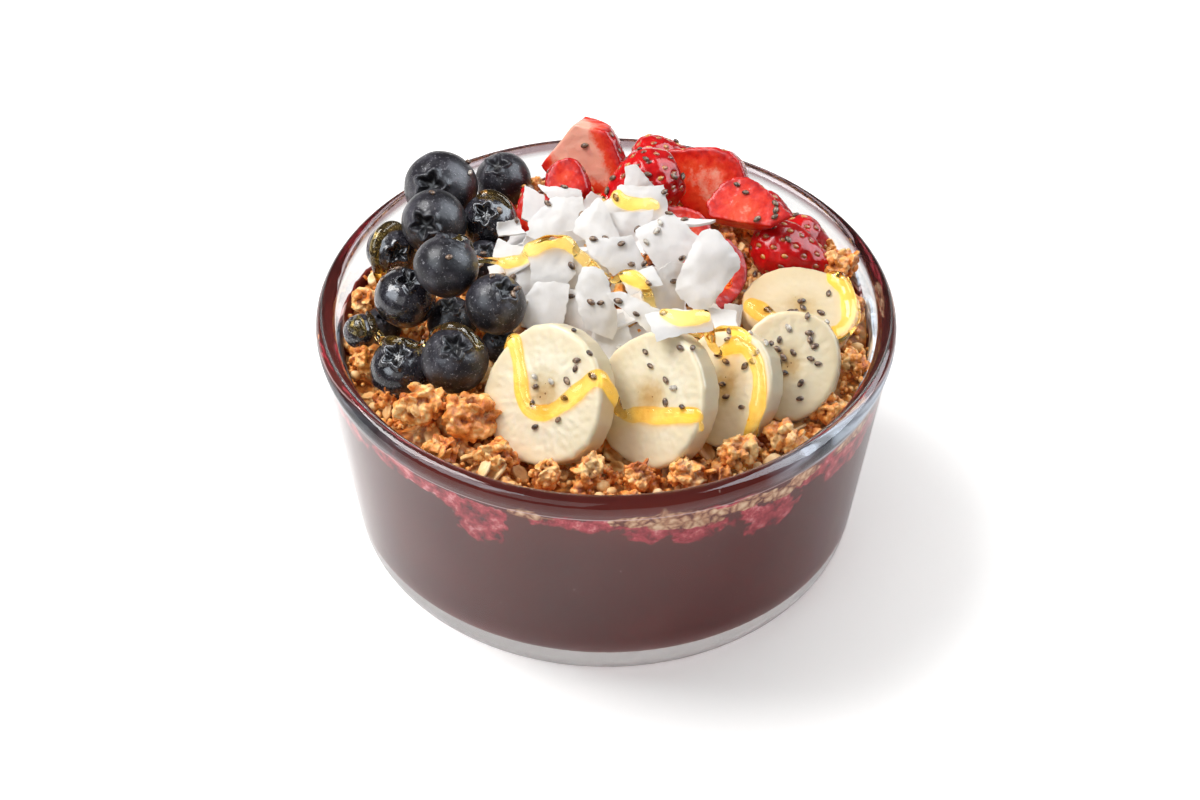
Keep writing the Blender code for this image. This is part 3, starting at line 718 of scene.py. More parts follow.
core = merged_copy("granola", "granola_core")
modify(core, "SUBSURF", levels=3, subdivision_type="SIMPLE")
points = points_of(core)
normals = normals_of(core)
inside = np.clip((points[:, 2] - ACAI_LEVEL - 0.5 * MM) / (1.5 * MM), 0, 1)
cells = np.array([noise.voronoi(Vector(point) / CRUMB_WIDTH)[0][0] for point in points])
relief = CRUMB_RELIEF * (0.45 - cells) + 0.3 * MM * rough(points, 1.2 * MM, 3)
points += normals * ((relief - 0.6 * MM) * inside)[:, None]
points[:, 2] -= CORE_DROP * inside * np.clip(normals[:, 2], 0, 1)
against_wall = wall_radius(points[:, 2], WALL + SMEAR_THICKNESS - 0.2 * MM)
points[:, :2] *= np.minimum(1, against_wall / np.hypot(points[:, 0], points[:, 1]))[:, None]
put_points(core, points)
core.data.shade_smooth()
# How deep each point lies between the crumbs, where the material paints shade.
note(core, "hollow", np.clip((cells - 0.32) * 3.5, 0, 1))
finish(core, baked, ["granola"])

chunks = [Vector((x * MM, y * MM, heap_top(x * MM, y * MM) + CHUNK_LIFT * half * MM))
          for x, y, half in CHUNKS]
spots = [(point, half * MM) for point, (x, y, half) in zip(chunks, CHUNKS)]
large = strew(52, 4.2 * MM, 0.25, 1, 0.72, spots)
medium = strew(150, 2.6 * MM, 0.25, 2, 0.72, spots)
oats = strew(120, 2.4 * MM, 0.75, 3, 0.55, spots)
puffs = strew(130, 1.6 * MM, 0.5, 4, 0.72, spots)
crumbs = strew(1300, 0.8 * MM, 0.4, 5, 0.70, spots)

uneven = random.Random(11)
models = [model_cluster(number + 30, 13.0 * MM, 1.25 * MM, 110, 9000) for number in range(4)]
pieces = copies("granola_chunks", models,
                [tumbled(point, uneven, half / 6.2) for point, (x, y, half) in zip(chunks, CHUNKS)])
finish(pieces, baked)
models = [model_cluster(number, 9.6 * MM, 1.15 * MM, 52, 3600) for number in range(5)]
pieces = copies("granola_clusters", models,
                [tumbled(point, uneven, uneven.uniform(0.8, 1.12)) for point in large])
finish(pieces, baked)
models = [model_cluster(number + 10, 5.8 * MM, 0.95 * MM, 20, 1200) for number in range(5)]
pieces = copies("granola_lumps", models,
                [tumbled(point, uneven, uneven.uniform(0.75, 1.15)) for point in medium])
finish(pieces, baked)
places = []
for point in oats:
    lean = Vector((uneven.gauss(0, 0.5), uneven.gauss(0, 0.5), 1))
    places.append(standing(point, lean, any_way(uneven), uneven.uniform(0.85, 1.25)))
pieces = copies("oat_flakes", [model_oat(number) for number in range(4)], places)
finish(pieces, toasted)
pieces = copies("puffed_grains", [model_puff(number) for number in range(4)],
                [tumbled(point, uneven, uneven.uniform(1.2, 2.0)) for point in puffs])
finish(pieces, toasted)
models = [ball(0.8 * MM) for number in range(3)]
for number, model in enumerate(models):
    shape = points_of(model)
    put_points(model, shape * (1 + 0.4 * rough(shape / MM, 0.8, number + 2, 2))[:, None])
pieces = copies("granola_crumbs", models,
                [tumbled(point, uneven, uneven.uniform(0.6, 1.3)) for point in crumbs])
finish(pieces, baked)

# ------------------------------------------------------------------ blueberries
# Fresh blueberries, rinsed and partly dry: nearly black skin under a waxy bloom, and at the
# blossom end a crown, a dark five-pointed dent inside a lip of short dry sepals.

BERRY_SEGMENTS = 70
BERRY_RINGS = 46
BERRY_FLATNESS = 0.94        # height over width
CAD_POLES = 1.683            # distance between a CAD berry's two poles, over its radius
CAD_BERRY_SIDES = 12
CROWN_WIDTH = 0.40           # angle from the crown's middle to its lip, in radians
CROWN_DEPTH = 0.23
LIP_HEIGHT = 0.10
CEILING = cad_box[1][2]      # nothing stands higher than the highest berry
WET_BERRIES = ("blueberry_04", "blueberry_05", "blueberry_07", "blueberry_10", "blueberry_13")


def berry_place(node):
    """Middle, radius and crown direction of a CAD berry, from its two poles."""
    work = merged(node)
    poles = [v for v in work.verts if len(v.link_edges) == CAD_BERRY_SIDES]
    poles.sort(key=lambda v: min(edge.calc_length() for edge in v.link_edges))
    crown, foot = poles[0].co.copy(), poles[-1].co.copy()
    work.free()
    radius = (crown - foot).length / CAD_POLES
    axis = (crown - foot).normalized()
    return foot + axis * radius * BERRY_FLATNESS, radius, axis


def model_berry():
    """A ball of radius 1 with its poles on Z, for one berry."""
    bpy.ops.object.select_all(action="DESELECT")
    bpy.ops.mesh.primitive_uv_sphere_add(segments=BERRY_SEGMENTS, ring_count=BERRY_RINGS, radius=1.0)
    return bpy.context.object


def crown_shape(points, seed):
    """Press the crown into a berry of radius 1: returns its points and how deep in it each is."""
    uneven = random.Random(seed)
    away = np.arccos(np.clip(points[:, 2], -1, 1))
    away = math.pi * (away / math.pi) ** 1.45       # rings close up round the crown
    turn = np.arctan2(points[:, 1], points[:, 0])
    lobes = np.zeros(len(points))
    for number in range(5):
        middle = 2 * math.pi * (number + uneven.uniform(-0.12, 0.12)) / 5
        off = np.abs((turn - middle + math.pi) % (2 * math.pi) - math.pi)
        lobes = np.maximum(lobes, uneven.uniform(0.75, 1.0) * np.clip(1 - off / 0.62, 0, 1))
    lip = CROWN_WIDTH * (0.62 + 0.5 * lobes)
    inside = np.clip(1 - (away / lip) ** 4, 0, 1)
    rise = LIP_HEIGHT * (0.35 + lobes) * np.exp(-((away - lip - 0.05) / 0.075) ** 2)
    reach = 1 + rise - CROWN_DEPTH * inside
    flat = np.sin(away) * reach
    moved = np.stack([flat * np.cos(turn), flat * np.sin(turn), np.cos(away) * reach], 1)
    return moved, inside + 0.35 * np.exp(-((away - lip) / 0.05) ** 2)


# Skin: nearly black, clouded by grey wax with fine white specks; glossier where it is wet.
skin, tree, shader = new_material("waxy blueberry skin", IOR=1.42, Coat_Roughness=0.12)
place = add(tree, "TexCoord")
patches = add(tree, "TexNoise", Vector=place, Scale=0.16 / MM, Detail=4.0, Roughness=0.65)
specks = add(tree, "TexNoise", Vector=place, Scale=1.5 / MM, Detail=2.0, Roughness=0.8)
bloom = add(tree, "ValToRGB", Fac=patches, stops=((0.3, "100E11"), (0.52, "242229"),
                                                  (0.75, "54525A")))
frost = add(tree, "ValToRGB", Fac=specks, stops=((0.6, "000000"), (0.74, "FFFFFF")))
frosted = add(tree, "MixRGB", Fac=frost, Color1=bloom, Color2=linear("96949A"))
# The crown is dark dry tissue, painted darker still down in its dent: painted shade.
crown = add(tree, "Attribute", attribute_name="crown")
dark = add(tree, "MixRGB", Fac=crown, Color1=frosted, Color2=linear("0C0A0B"))
feed(shader, Base_Color=dark)
wet = add(tree, "Attribute", attribute_name="wet")
dull = add(tree, "MapRange", Value=wet, To_Min=0.36, To_Max=0.14)
feed(shader, Roughness=dull, Coat_Weight=wet)
feed(shader, Normal=add(tree, "Bump", Height=specks, Distance=0.13 * MM, Strength=0.7))

fruit = []
for number, node in enumerate(names_called("blueberry")):
    middle, radius, axis = berry_place(node)
    berry = model_berry()
    berry.name = node + "_fruit"
    shaped, inside = crown_shape(points_of(berry), number)
    lumps = 1 + 0.018 * rough(shaped, 0.7, number)
    wrinkles = 1 + 0.012 * rough(shaped, 0.16, number + 20) * np.clip(1.6 * shaped[:, 2] - 0.6, 0, 1)
    local = shaped * (lumps * wrinkles)[:, None] * radius * np.array((1, 1, BERRY_FLATNESS))
    spin = random.Random(number).uniform(0, 2 * math.pi)
    turn = axis.to_track_quat("Z", "Y").to_matrix() @ Matrix.Rotation(spin, 3, "Z")
    placed = local @ np.array(turn).T + np.array(middle)
    placed[:, 2] = np.minimum(placed[:, 2], CEILING)
    put_points(berry, placed)
    note(berry, "crown", np.clip(inside, 0, 1))
    note(berry, "wet", np.full(len(local), 0.9 if node in WET_BERRIES else 0.1))
    pick(berry)
    bpy.ops.object.shade_smooth()
    finish(berry, skin, [node])
    fruit.append(berry)

# ------------------------------------------------------------------ banana slices
# Slices of a ripe peeled banana, cut with a knife: damp cream flesh with fine fibres that run
# out from the middle, where three seed rows meet, and knife ripples across the face.

SLICE_GRAIN = 0.6 * MM       # mesh size of a slice
SLICE_PAINTED_SHADE = {"banana_slice_4": 0.2, "banana_slice_5": 0.45}      # painted shade: these slices are darker, as if they lay in shade


def dense_copy(node, name, grain):
    """A CAD node's shape as a fine even mesh with softened edges."""
    piece = merged_copy(node, name)
    modify(piece, "REMESH", mode="VOXEL", voxel_size=grain, use_smooth_shade=True)
    modify(piece, "SMOOTH", factor=0.6, iterations=3)
    return piece


def own_axes(points):
    """Middle of a shape and its axes as columns: its long and middle ones and the thin one, upwards."""
    middle = points.mean(0)
    _, _, rows = np.linalg.svd(points - middle, full_matrices=False)
    axes = rows.T
    if axes[2, 2] < 0:
        axes[:, 2] *= -1
    axes[:, 1] = np.cross(axes[:, 2], axes[:, 0])
    return middle, axes


# Flesh: damp cream, tan towards the middle, with small brown seeds there.
flesh, tree, shader = new_material("ripe banana flesh", Roughness=0.4, IOR=1.38, Subsurface_Weight=0.3,
                                   Coat_Weight=0.35, Coat_Roughness=0.18,
                                   Subsurface_Radius=(1.0, 0.7, 0.4), Subsurface_Scale=2.5 * MM)
own = add(tree, "Attribute", attribute_name="slice").outputs["Vector"]
apart = add(tree, "SeparateXYZ", Vector=own)
flat = add(tree, "CombineXYZ", X=apart.outputs["X"], Y=apart.outputs["Y"])
reach = add(tree, "VectorMath", flat, operation="LENGTH")
fine = add(tree, "TexNoise", Vector=own, Scale=5.0, Detail=6.0, Roughness=0.6)
out = add(tree, "Math", fine, 0.35, reach, operation="MULTIPLY_ADD")
cream = add(tree, "ValToRGB", Fac=out, stops=((0.22, "C8A26A"), (0.34, "D8BE8E"), (0.5, "EADCBC"),
                                              (0.72, "EFE5CA"), (1.0, "EBDDBC")))
# Painted shade: some slices are mixed towards a darker tan, as if they lay in shade.
painted_slice_shade = add(tree, "Attribute", attribute_name="painted_slice_shade")
cream_with_painted_shade = add(tree, "MixRGB", Fac=painted_slice_shade, Color1=cream, Color2=linear("D2B684"))
dots = add(tree, "TexVoronoi", Vector=own, Scale=11.0)
near = add(tree, "MapRange", Value=reach, From_Min=0.12, From_Max=0.3, To_Min=0.16, To_Max=0.0)
dot = add(tree, "Math", dots, near, operation="LESS_THAN")
seeded = add(tree, "MixRGB", Fac=dot, Color1=cream_with_painted_shade, Color2=linear("7E5428"))
feed(shader, Base_Color=seeded)
feed(shader, Normal=add(tree, "Bump", Height=fine, Distance=0.2 * MM, Strength=0.4))

for number, node in enumerate(names_called("banana")):
    piece = dense_copy(node, node + "_flesh", SLICE_GRAIN)
    points = points_of(piece)
    middle, axes = own_axes(points)
    local = (points - middle) @ axes
    half = np.abs(local).max(0)
    reach = np.hypot(local[:, 0] / half[0], local[:, 1] / half[1])
    face = np.clip((np.abs(local[:, 2]) / half[2] - 0.75) * 4, 0, 1)
    angle = np.arctan2(local[:, 1], local[:, 0])
    ripples = rough(local * (1, 0.8, 1), 1.3 * MM, number, 4)
    fibres = rough(np.stack([angle * 5, reach * 1.2, local[:, 2] * 0], 1), 0.5, number + 9)
    hollow = -0.5 * np.exp(-(reach / 0.22) ** 2) + 0.25 * np.exp(-((reach - 0.42) / 0.15) ** 2)
    ease = np.clip((1 - reach) * 5, 0, 1)
    height = (0.10 * ripples + 0.09 * fibres + 0.5 * hollow) * MM * face * ease
    local[:, 2] += np.sign(local[:, 2]) * (height - 0.3 * MM * face)
    put_points(piece, local @ axes.T + middle)
    note(piece, "slice", local / half[0] / np.array((1, half[1] / half[0], 1)))
    note(piece, "painted_slice_shade", np.full(len(points), SLICE_PAINTED_SHADE.get(node, 0.0)))
    finish(piece, flesh, [node])
    fruit.append(piece)

# ------------------------------------------------------------------ strawberries
# Ripe strawberries, washed and cut up: wet red skin dimpled round its seeds, and cut faces
# that pale from red at the skin to pinkish white in the middle.

BERRY_GRAIN = 0.5 * MM
SEED_SPACING = 3.1 * MM
SEED_SIZE = (0.62 * MM, 0.95 * MM, 0.42 * MM)    # half width, half length, half height
DIMPLE_RADIUS = 1.25 * MM
DIMPLE_DEPTH = 0.55 * MM
FLAT_FACE = 28 * MM * MM     # a flat side larger than this is a cut
# How pale the hearts are, 1 being the palest; the rest are redder.
PALENESS = {"strawberry_01": 0.8, "strawberry_06": 0.36, "strawberry_08": 0.6, "strawberry_10": 0.6}


def split_skin(node):
    """Search trees of a cut strawberry's skin and of its cut faces."""
    work = merged(node)
    bmesh.ops.dissolve_limit(work, angle_limit=math.radians(2), verts=work.verts, edges=work.edges)
    cuts = [face for face in work.faces if face.calc_area() > FLAT_FACE or len(face.verts) > 6]
    points = [vertex.co.copy() for vertex in work.verts]
    trees = []
    for faces in ([face for face in work.faces if face not in cuts], cuts):
        polygons = [[vertex.index for vertex in face.verts] for face in faces]
        trees.append(BVHTree.FromPolygons(points, polygons) if polygons else None)
    work.free()
    return trees


def scatter(piece, spacing, seed, allowed):
    """Indices of a piece's points, at least a spacing apart, where allowed."""
    order = [int(index) for index in np.flatnonzero(allowed)]
    random.Random(seed).shuffle(order)
    points = points_of(piece)
    kept = []
    for index in order:
        if not kept or (np.linalg.norm(points[kept] - points[index], axis=1) > spacing).all():
            kept.append(index)
    return kept


def model_grain(name, size):
    """A small smooth seed, pointed at one end, lying along Y."""
    bpy.ops.object.select_all(action="DESELECT")
    bpy.ops.mesh.primitive_uv_sphere_add(segments=8, ring_count=6, radius=1.0,
                                         rotation=(math.radians(90), 0, 0))
    made = bpy.context.object
    made.name = name
    bpy.ops.object.transform_apply(rotation=True)
    points = points_of(made)
    points[:, 0] *= 1 - 0.28 * points[:, 1]
    put_points(made, points * np.array(size))
    return made


# Skin: wet and bright red.  Cut faces: red at the skin, then orange red and pinkish white.
wet_berry, tree, shader = new_material("cut strawberry", IOR=1.4, Coat_Weight=0.3, Coat_Roughness=0.05,
                                       Specular_IOR_Level=0.35, Subsurface_Weight=0.2,
                                       Subsurface_Radius=(1.0, 0.25, 0.15), Subsurface_Scale=1.6 * MM)
place = add(tree, "TexCoord")
cloud = add(tree, "TexNoise", Vector=place, Scale=0.42 / MM, Detail=5.0, Roughness=0.65)
deep = add(tree, "Attribute", attribute_name="depth")
uneven_depth = add(tree, "Math", cloud, 0.75, deep, operation="MULTIPLY_ADD")
inside = add(tree, "ValToRGB", Fac=uneven_depth, stops=((0.34, "B60A12"), (0.54, "E42812"),
                                                        (0.76, "F4522E"), (1.0, "FFB8A0")))
outside = add(tree, "ValToRGB", Fac=cloud, stops=((0.3, "B5070F"), (0.7, "E01A1C")))
cut = add(tree, "Attribute", attribute_name="cut")
both = add(tree, "MixRGB", Fac=cut, Color1=outside, Color2=inside)
shine = add(tree, "MapRange", Value=cut, To_Min=0.2, To_Max=0.38)
feed(shader, Base_Color=both, Roughness=shine)
feed(shader, Normal=add(tree, "Bump", Height=cloud, Distance=0.25 * MM, Strength=0.5))

seed_places = []
for number, node in enumerate(names_called("strawberry")):
    skin_tree, cut_tree = split_skin(node)
    piece = dense_copy(node, node + "_flesh", BERRY_GRAIN)
    points = points_of(piece)
    normals = normals_of(piece)
    to_skin = np.array([skin_tree.find_nearest(point)[3] for point in points])
    to_cut = np.array([cut_tree.find_nearest(point)[3] if cut_tree else 1.0 for point in points])
    cut_share = np.clip((to_skin - to_cut) / (0.8 * MM) + 0.5, 0, 1)
    seeds = scatter(piece, SEED_SPACING, number, (cut_share < 0.02) & (to_cut > 0.9 * MM))
    dimples = np.zeros(len(points))
    for index in seeds:
        away = np.linalg.norm(points - points[index], axis=1)
        dimples = np.maximum(dimples, np.exp(-(away / DIMPLE_RADIUS) ** 2 * 2.2))
    _, axes = own_axes(points)
    for index in seeds:
        foot = points[index] - normals[index] * (DIMPLE_DEPTH - 0.5 * SEED_SIZE[2])
        seed_places.append(standing(foot, normals[index], axes[:, 0]))
    wear = 0.10 * rough(points, 2.0 * MM, number) * cut_share + 0.12 * rough(points, 4 * MM, number + 5)
    points = points + normals * (wear * MM - dimples * DIMPLE_DEPTH)[:, None]
    put_points(piece, points)
    note(piece, "cut", cut_share)
    note(piece, "depth", np.clip(to_skin / (7.0 * MM), 0, 1) * PALENESS.get(node, 0.5))
    finish(piece, wet_berry, [node])
    fruit.append(piece)

# Seeds on the skin: yellow to brown and glossy.
achenes = copies("strawberry_achenes", [model_grain("seed", SEED_SIZE)], seed_places)
pip, tree, shader = new_material("strawberry seed", Roughness=0.35, Coat_Weight=0.5)
place = add(tree, "TexCoord")
mottle = add(tree, "TexNoise", Vector=place, Scale=0.24 / MM, Detail=1.0)
yellow = add(tree, "ValToRGB", Fac=mottle, stops=((0.35, "6B2A12"), (0.5, "B4622A"),
                                                  (0.65, "D9A050")))
feed(shader, Base_Color=yellow)
finish(achenes, pip)

# ------------------------------------------------------------------ coconut flakes
# Wide shavings of white coconut, under half a millimetre thick, slightly curled, with torn edges.
# Smaller shreds have fallen between them.

FLAKE_THICKNESS = 0.45 * MM
TEAR_DEPTH = 0.5 * MM
TEAR_REACH = 1.8 * MM


def tear(piece, seed):
    """Ragged edge: points near the sheet's border move in by uneven amounts."""
    work = bmesh.new()
    work.from_mesh(piece.data)
    border = np.array([vertex.co for vertex in work.verts if vertex.is_boundary])
    work.free()
    points = points_of(piece)
    gap = np.linalg.norm(points[:, None] - border[None], axis=2)
    nearest = border[gap.argmin(1)]
    share = np.clip(1 - gap.min(1) / TEAR_REACH, 0, 1)
    inwards = points.mean(0) - nearest
    inwards /= np.linalg.norm(inwards, axis=1)[:, None]
    bites = np.clip(0.35 + rough(nearest, 2.2 * MM, seed, 4), 0, 1)
    bites += 0.25 * rough(nearest, 0.7 * MM, seed)
    put_points(piece, points + inwards * (share * bites * TEAR_DEPTH)[:, None])


def thicken(piece, thickness):
    """Give a sheet its thickness, below the side that shows."""
    modify(piece, "SOLIDIFY", thickness=thickness, offset=-1.0)
    pick(piece)
    bpy.ops.object.shade_smooth_by_angle(angle=math.radians(40))


# Coconut: matt white, a little translucent, with faint fibres.
coconut, tree, shader = new_material("shaved coconut", Roughness=0.5, IOR=1.4, Subsurface_Weight=0.35,
                                     Subsurface_Radius=(1.0, 0.95, 0.85), Subsurface_Scale=1.2 * MM)
place = add(tree, "TexCoord")
cloud = add(tree, "TexNoise", Vector=place, Scale=0.09 / MM, Detail=4.0)
white = add(tree, "ValToRGB", Fac=cloud, stops=((0.3, "DAD7D4"), (0.6, "F0EEEC")))
feed(shader, Base_Color=white)
stretch = add(tree, "Mapping", Vector=place, Scale=(1.0, 1.0, 0.15), Rotation=(0.5, 0.3, 0.0))
fibre = add(tree, "TexNoise", Vector=stretch, Scale=0.9 / MM, Detail=3.0)
feed(shader, Normal=add(tree, "Bump", Height=fibre, Distance=0.12 * MM, Strength=0.35))

for number, node in enumerate(names_called("coconut")):
    piece = merged_copy(node, node + "_shaving")
    points = points_of(piece)
    middle, axes = own_axes(points)
    pick(piece)
    bpy.ops.object.mode_set(mode="EDIT")
    bpy.ops.mesh.select_all(action="DESELECT")
    bpy.ops.object.mode_set(mode="OBJECT")
    thin_way = Vector(axes[:, 2])
    for face in piece.data.polygons:
        face.select = face.normal.dot(thin_way) < 0.5
    bpy.ops.object.mode_set(mode="EDIT")
    bpy.ops.mesh.delete(type="FACE")
    bpy.ops.mesh.select_all(action="SELECT")
    bpy.ops.mesh.tris_convert_to_quads()
    bpy.ops.object.mode_set(mode="OBJECT")
    modify(piece, "SUBSURF", levels=3, boundary_smooth="PRESERVE_CORNERS")
    tear(piece, number)
    points = points_of(piece)
    put_points(piece, points + axes[:, 2] * (0.5 * MM * rough(points, 7 * MM, number))[:, None])
    thicken(piece, FLAKE_THICKNESS)
    finish(piece, coconut, [node])
    fruit.append(piece)

SHREDS = 64
SHRED_SIZE = (7, 12)         # millimetres
SHRED_AREA = (3 * MM, 3 * MM, 31 * MM, 31 * MM)      # middle and reach
shavings = tree_of(nodes_called("coconut"))
other_fruit = tree_of(nodes_called("blueberry", "banana", "strawberry"))


def model_shred(seed):
    """A smaller shaving, one millimetre across: four-sided, uneven, gently curled."""
    uneven = random.Random(seed)
    bpy.ops.object.select_all(action="DESELECT")
    bpy.ops.mesh.primitive_grid_add(x_subdivisions=12, y_subdivisions=12, size=1.0 * MM)
    shred = bpy.context.object
    points = points_of(shred)
    across, along = points[:, 0] / MM, points[:, 1] / MM
    lean = uneven.uniform(-0.35, 0.35)
    taper = uneven.uniform(-0.5, 0.5)
    x = across * uneven.uniform(0.55, 0.9) * (1 + taper * along) + lean * along
    y = along + uneven.uniform(-0.3, 0.3) * across
    z = uneven.uniform(0.1, 0.35) * (across + 0.5 * along) ** 2
    put_points(shred, np.stack([x, y, z], 1) * MM * 8)
    tear(shred, seed)
    thicken(shred, FLAKE_THICKNESS)
    put_points(shred, points_of(shred) / 8)
    return shred


def ceiling_over(x, y, low):
    """Underside of the lowest shaving above a spot or close beside it."""
    steps = ((0, 0), (5, 0), (-5, 0), (0, 5), (0, -5))
    starts = [Vector((x + right * MM, y + back * MM, low)) for right, back in steps]
    hits = [shavings.ray_cast(start, Vector((0, 0, 1)))[0] for start in starts]
    heights = [hit.z for hit in hits if hit]
    return min(heights) if heights else None


uneven = random.Random(31)
middle_x, middle_y, reach_x, reach_y = SHRED_AREA
shred_places, used = [], []
for _ in range(6000):
    if len(used) == SHREDS:
        break
    x = middle_x + uneven.uniform(-1, 1) * reach_x
    y = middle_y + uneven.uniform(-1, 1) * reach_y
    low = heap_top(x, y)
    roof = ceiling_over(x, y, low)
    if roof is None or roof < low + 2 * MM:
        continue
    spot = Vector((x, y, uneven.uniform(low + MM, roof - MM)))
    size = uneven.uniform(*SHRED_SIZE)
    if other_fruit.find_nearest(spot)[3] < 0.4 * size * MM:
        continue
    if any((spot - other).length < 4 * MM for other in used):
        continue
    used.append(spot)
    facing = Vector((uneven.gauss(0, 0.35), uneven.gauss(-0.35, 0.35), 1))
    shred_places.append(standing(spot, facing, any_way(uneven), size))
shreds = copies("coconut_shreds", [model_shred(number) for number in range(6)], shred_places)
pick(shreds)
bpy.ops.object.shade_smooth_by_angle(angle=math.radians(40))
finish(shreds, coconut)
fruit.append(shreds)

# ------------------------------------------------------------------ honey
# Runny honey, spooned over last: ropes that lie over the fruit, hang between high pieces and
# end in small pools. Clear golden, a millimetre or so thick, so darker over berries.

HONEY_STEP = 0.5 * MM
HONEY_HEIGHT = 0.42          # of a rope's width
HONEY_SUNK = 0.25 * MM
HONEY_SIDES = 14
HONEY_GRAIN = 0.28 * MM
# Each rope: width, widest gap it hangs across, then where it goes, in millimetres.
HONEY_ROPES = (
    (3.8, 13, ((-40, -4), (-36, -1), (-33, 0), (-28, 0), (-23, 0), (-19, 0), (-14, 1.5), (-9.5, 2),
               (-5, 0), (-2, -5), (2, -8), (6, -9), (11, -12), (15, -15.5), (19, -19), (24, -21),
               (29, -24), (33, -28), (36, -32.5))),
    (4.2, 5, ((13, -33), (18, -35), (23, -34), (28, -31), (33, -31), (37, -35), (38.5, -40),
              (37.5, -45), (34.5, -49), (32, -51))),
    (4.2, 5, ((-25.5, -26), (-24, -29), (-22.5, -33.5), (-21.5, -38), (-21, -42),
              (-19, -45.5), (-15, -47.5), (-10, -48), (-4, -47), (1, -47), (5, -45), (9, -46),
              (14, -49), (20, -52), (24, -54))),
    (3.6, 6, ((-4, 38), (-1, 36), (1, 29), (3, 22), (9, 21), (14, 21))),
    (4.0, 5, ((24, 9), (28, 9), (31, 6), (31.5, 1), (31, -4))),
    (5.0, 5, ((58, 9), (62, 4), (63.5, -2), (63, -7), (59, -11), (53, -12), (46, -9), (40, -4),
              (36, -1))),
    (3.4, 8, ((-62, -5), (-59, -14), (-55, -20), (-50, -22), (-45, -23), (-40, -24.5), (-36, -26),
              (-33, -29), (-31, -32))),
    (3.4, 3, ((-54, 27), (-58, 26), (-61, 22.5), (-61.5, 19.5), (-58, 18), (-53, 18.5))),
    (3.2, 3, ((-35, 32), (-31, 32), (-28, 31), (-25, 29))),
    (5.0, 3, ((-66, -9), (-64, -12), (-62, -14))),
    (6.0, 3, ((24, -54), (23, -55))),
)


def top_at(tree, x, y):
    """The highest point of some pieces above x, y, and which way it faces."""
    hit = tree.ray_cast(Vector((x, y, 0.2)), Vector((0, 0, -1)))
    return (hit[0], hit[1]) if hit[0] else (Vector((x, y, ACAI_LEVEL)), Vector((0, 0, 1)))


def smoothed(values, reach, rounds=2):
    """Moving average along a list, its ends kept."""
    values = np.array(values, float)
    for _ in range(rounds):
        padded = np.concatenate([values[:1]] * reach + [values] + [values[-1:]] * reach)
        values = np.mean([padded[step:step + len(values)] for step in range(2 * reach + 1)], axis=0)
    return values


def along_curve(stops, step):
    """Evenly spaced points of a smooth curve through some points."""
    stops = np.array([stops[0]] + list(stops) + [stops[-1]], float)
    fine = []
    for a, b, c, d in zip(stops, stops[1:], stops[2:], stops[3:]):
        for part in np.linspace(0, 1, 24, endpoint=False):
            fine.append(0.5 * (2 * b + (c - a) * part + (2 * a - 5 * b + 4 * c - d) * part ** 2
                               + (3 * b - 3 * c + d - a) * part ** 3))
    fine = np.array(fine + [stops[-1]])
    length = np.concatenate([[0], np.cumsum(np.linalg.norm(np.diff(fine, axis=0), axis=1))])
    even = np.linspace(0, length[-1], max(4, int(length[-1] / step) + 1))
    return np.stack([np.interp(even, length, fine[:, axis]) for axis in range(fine.shape[1])], 1)


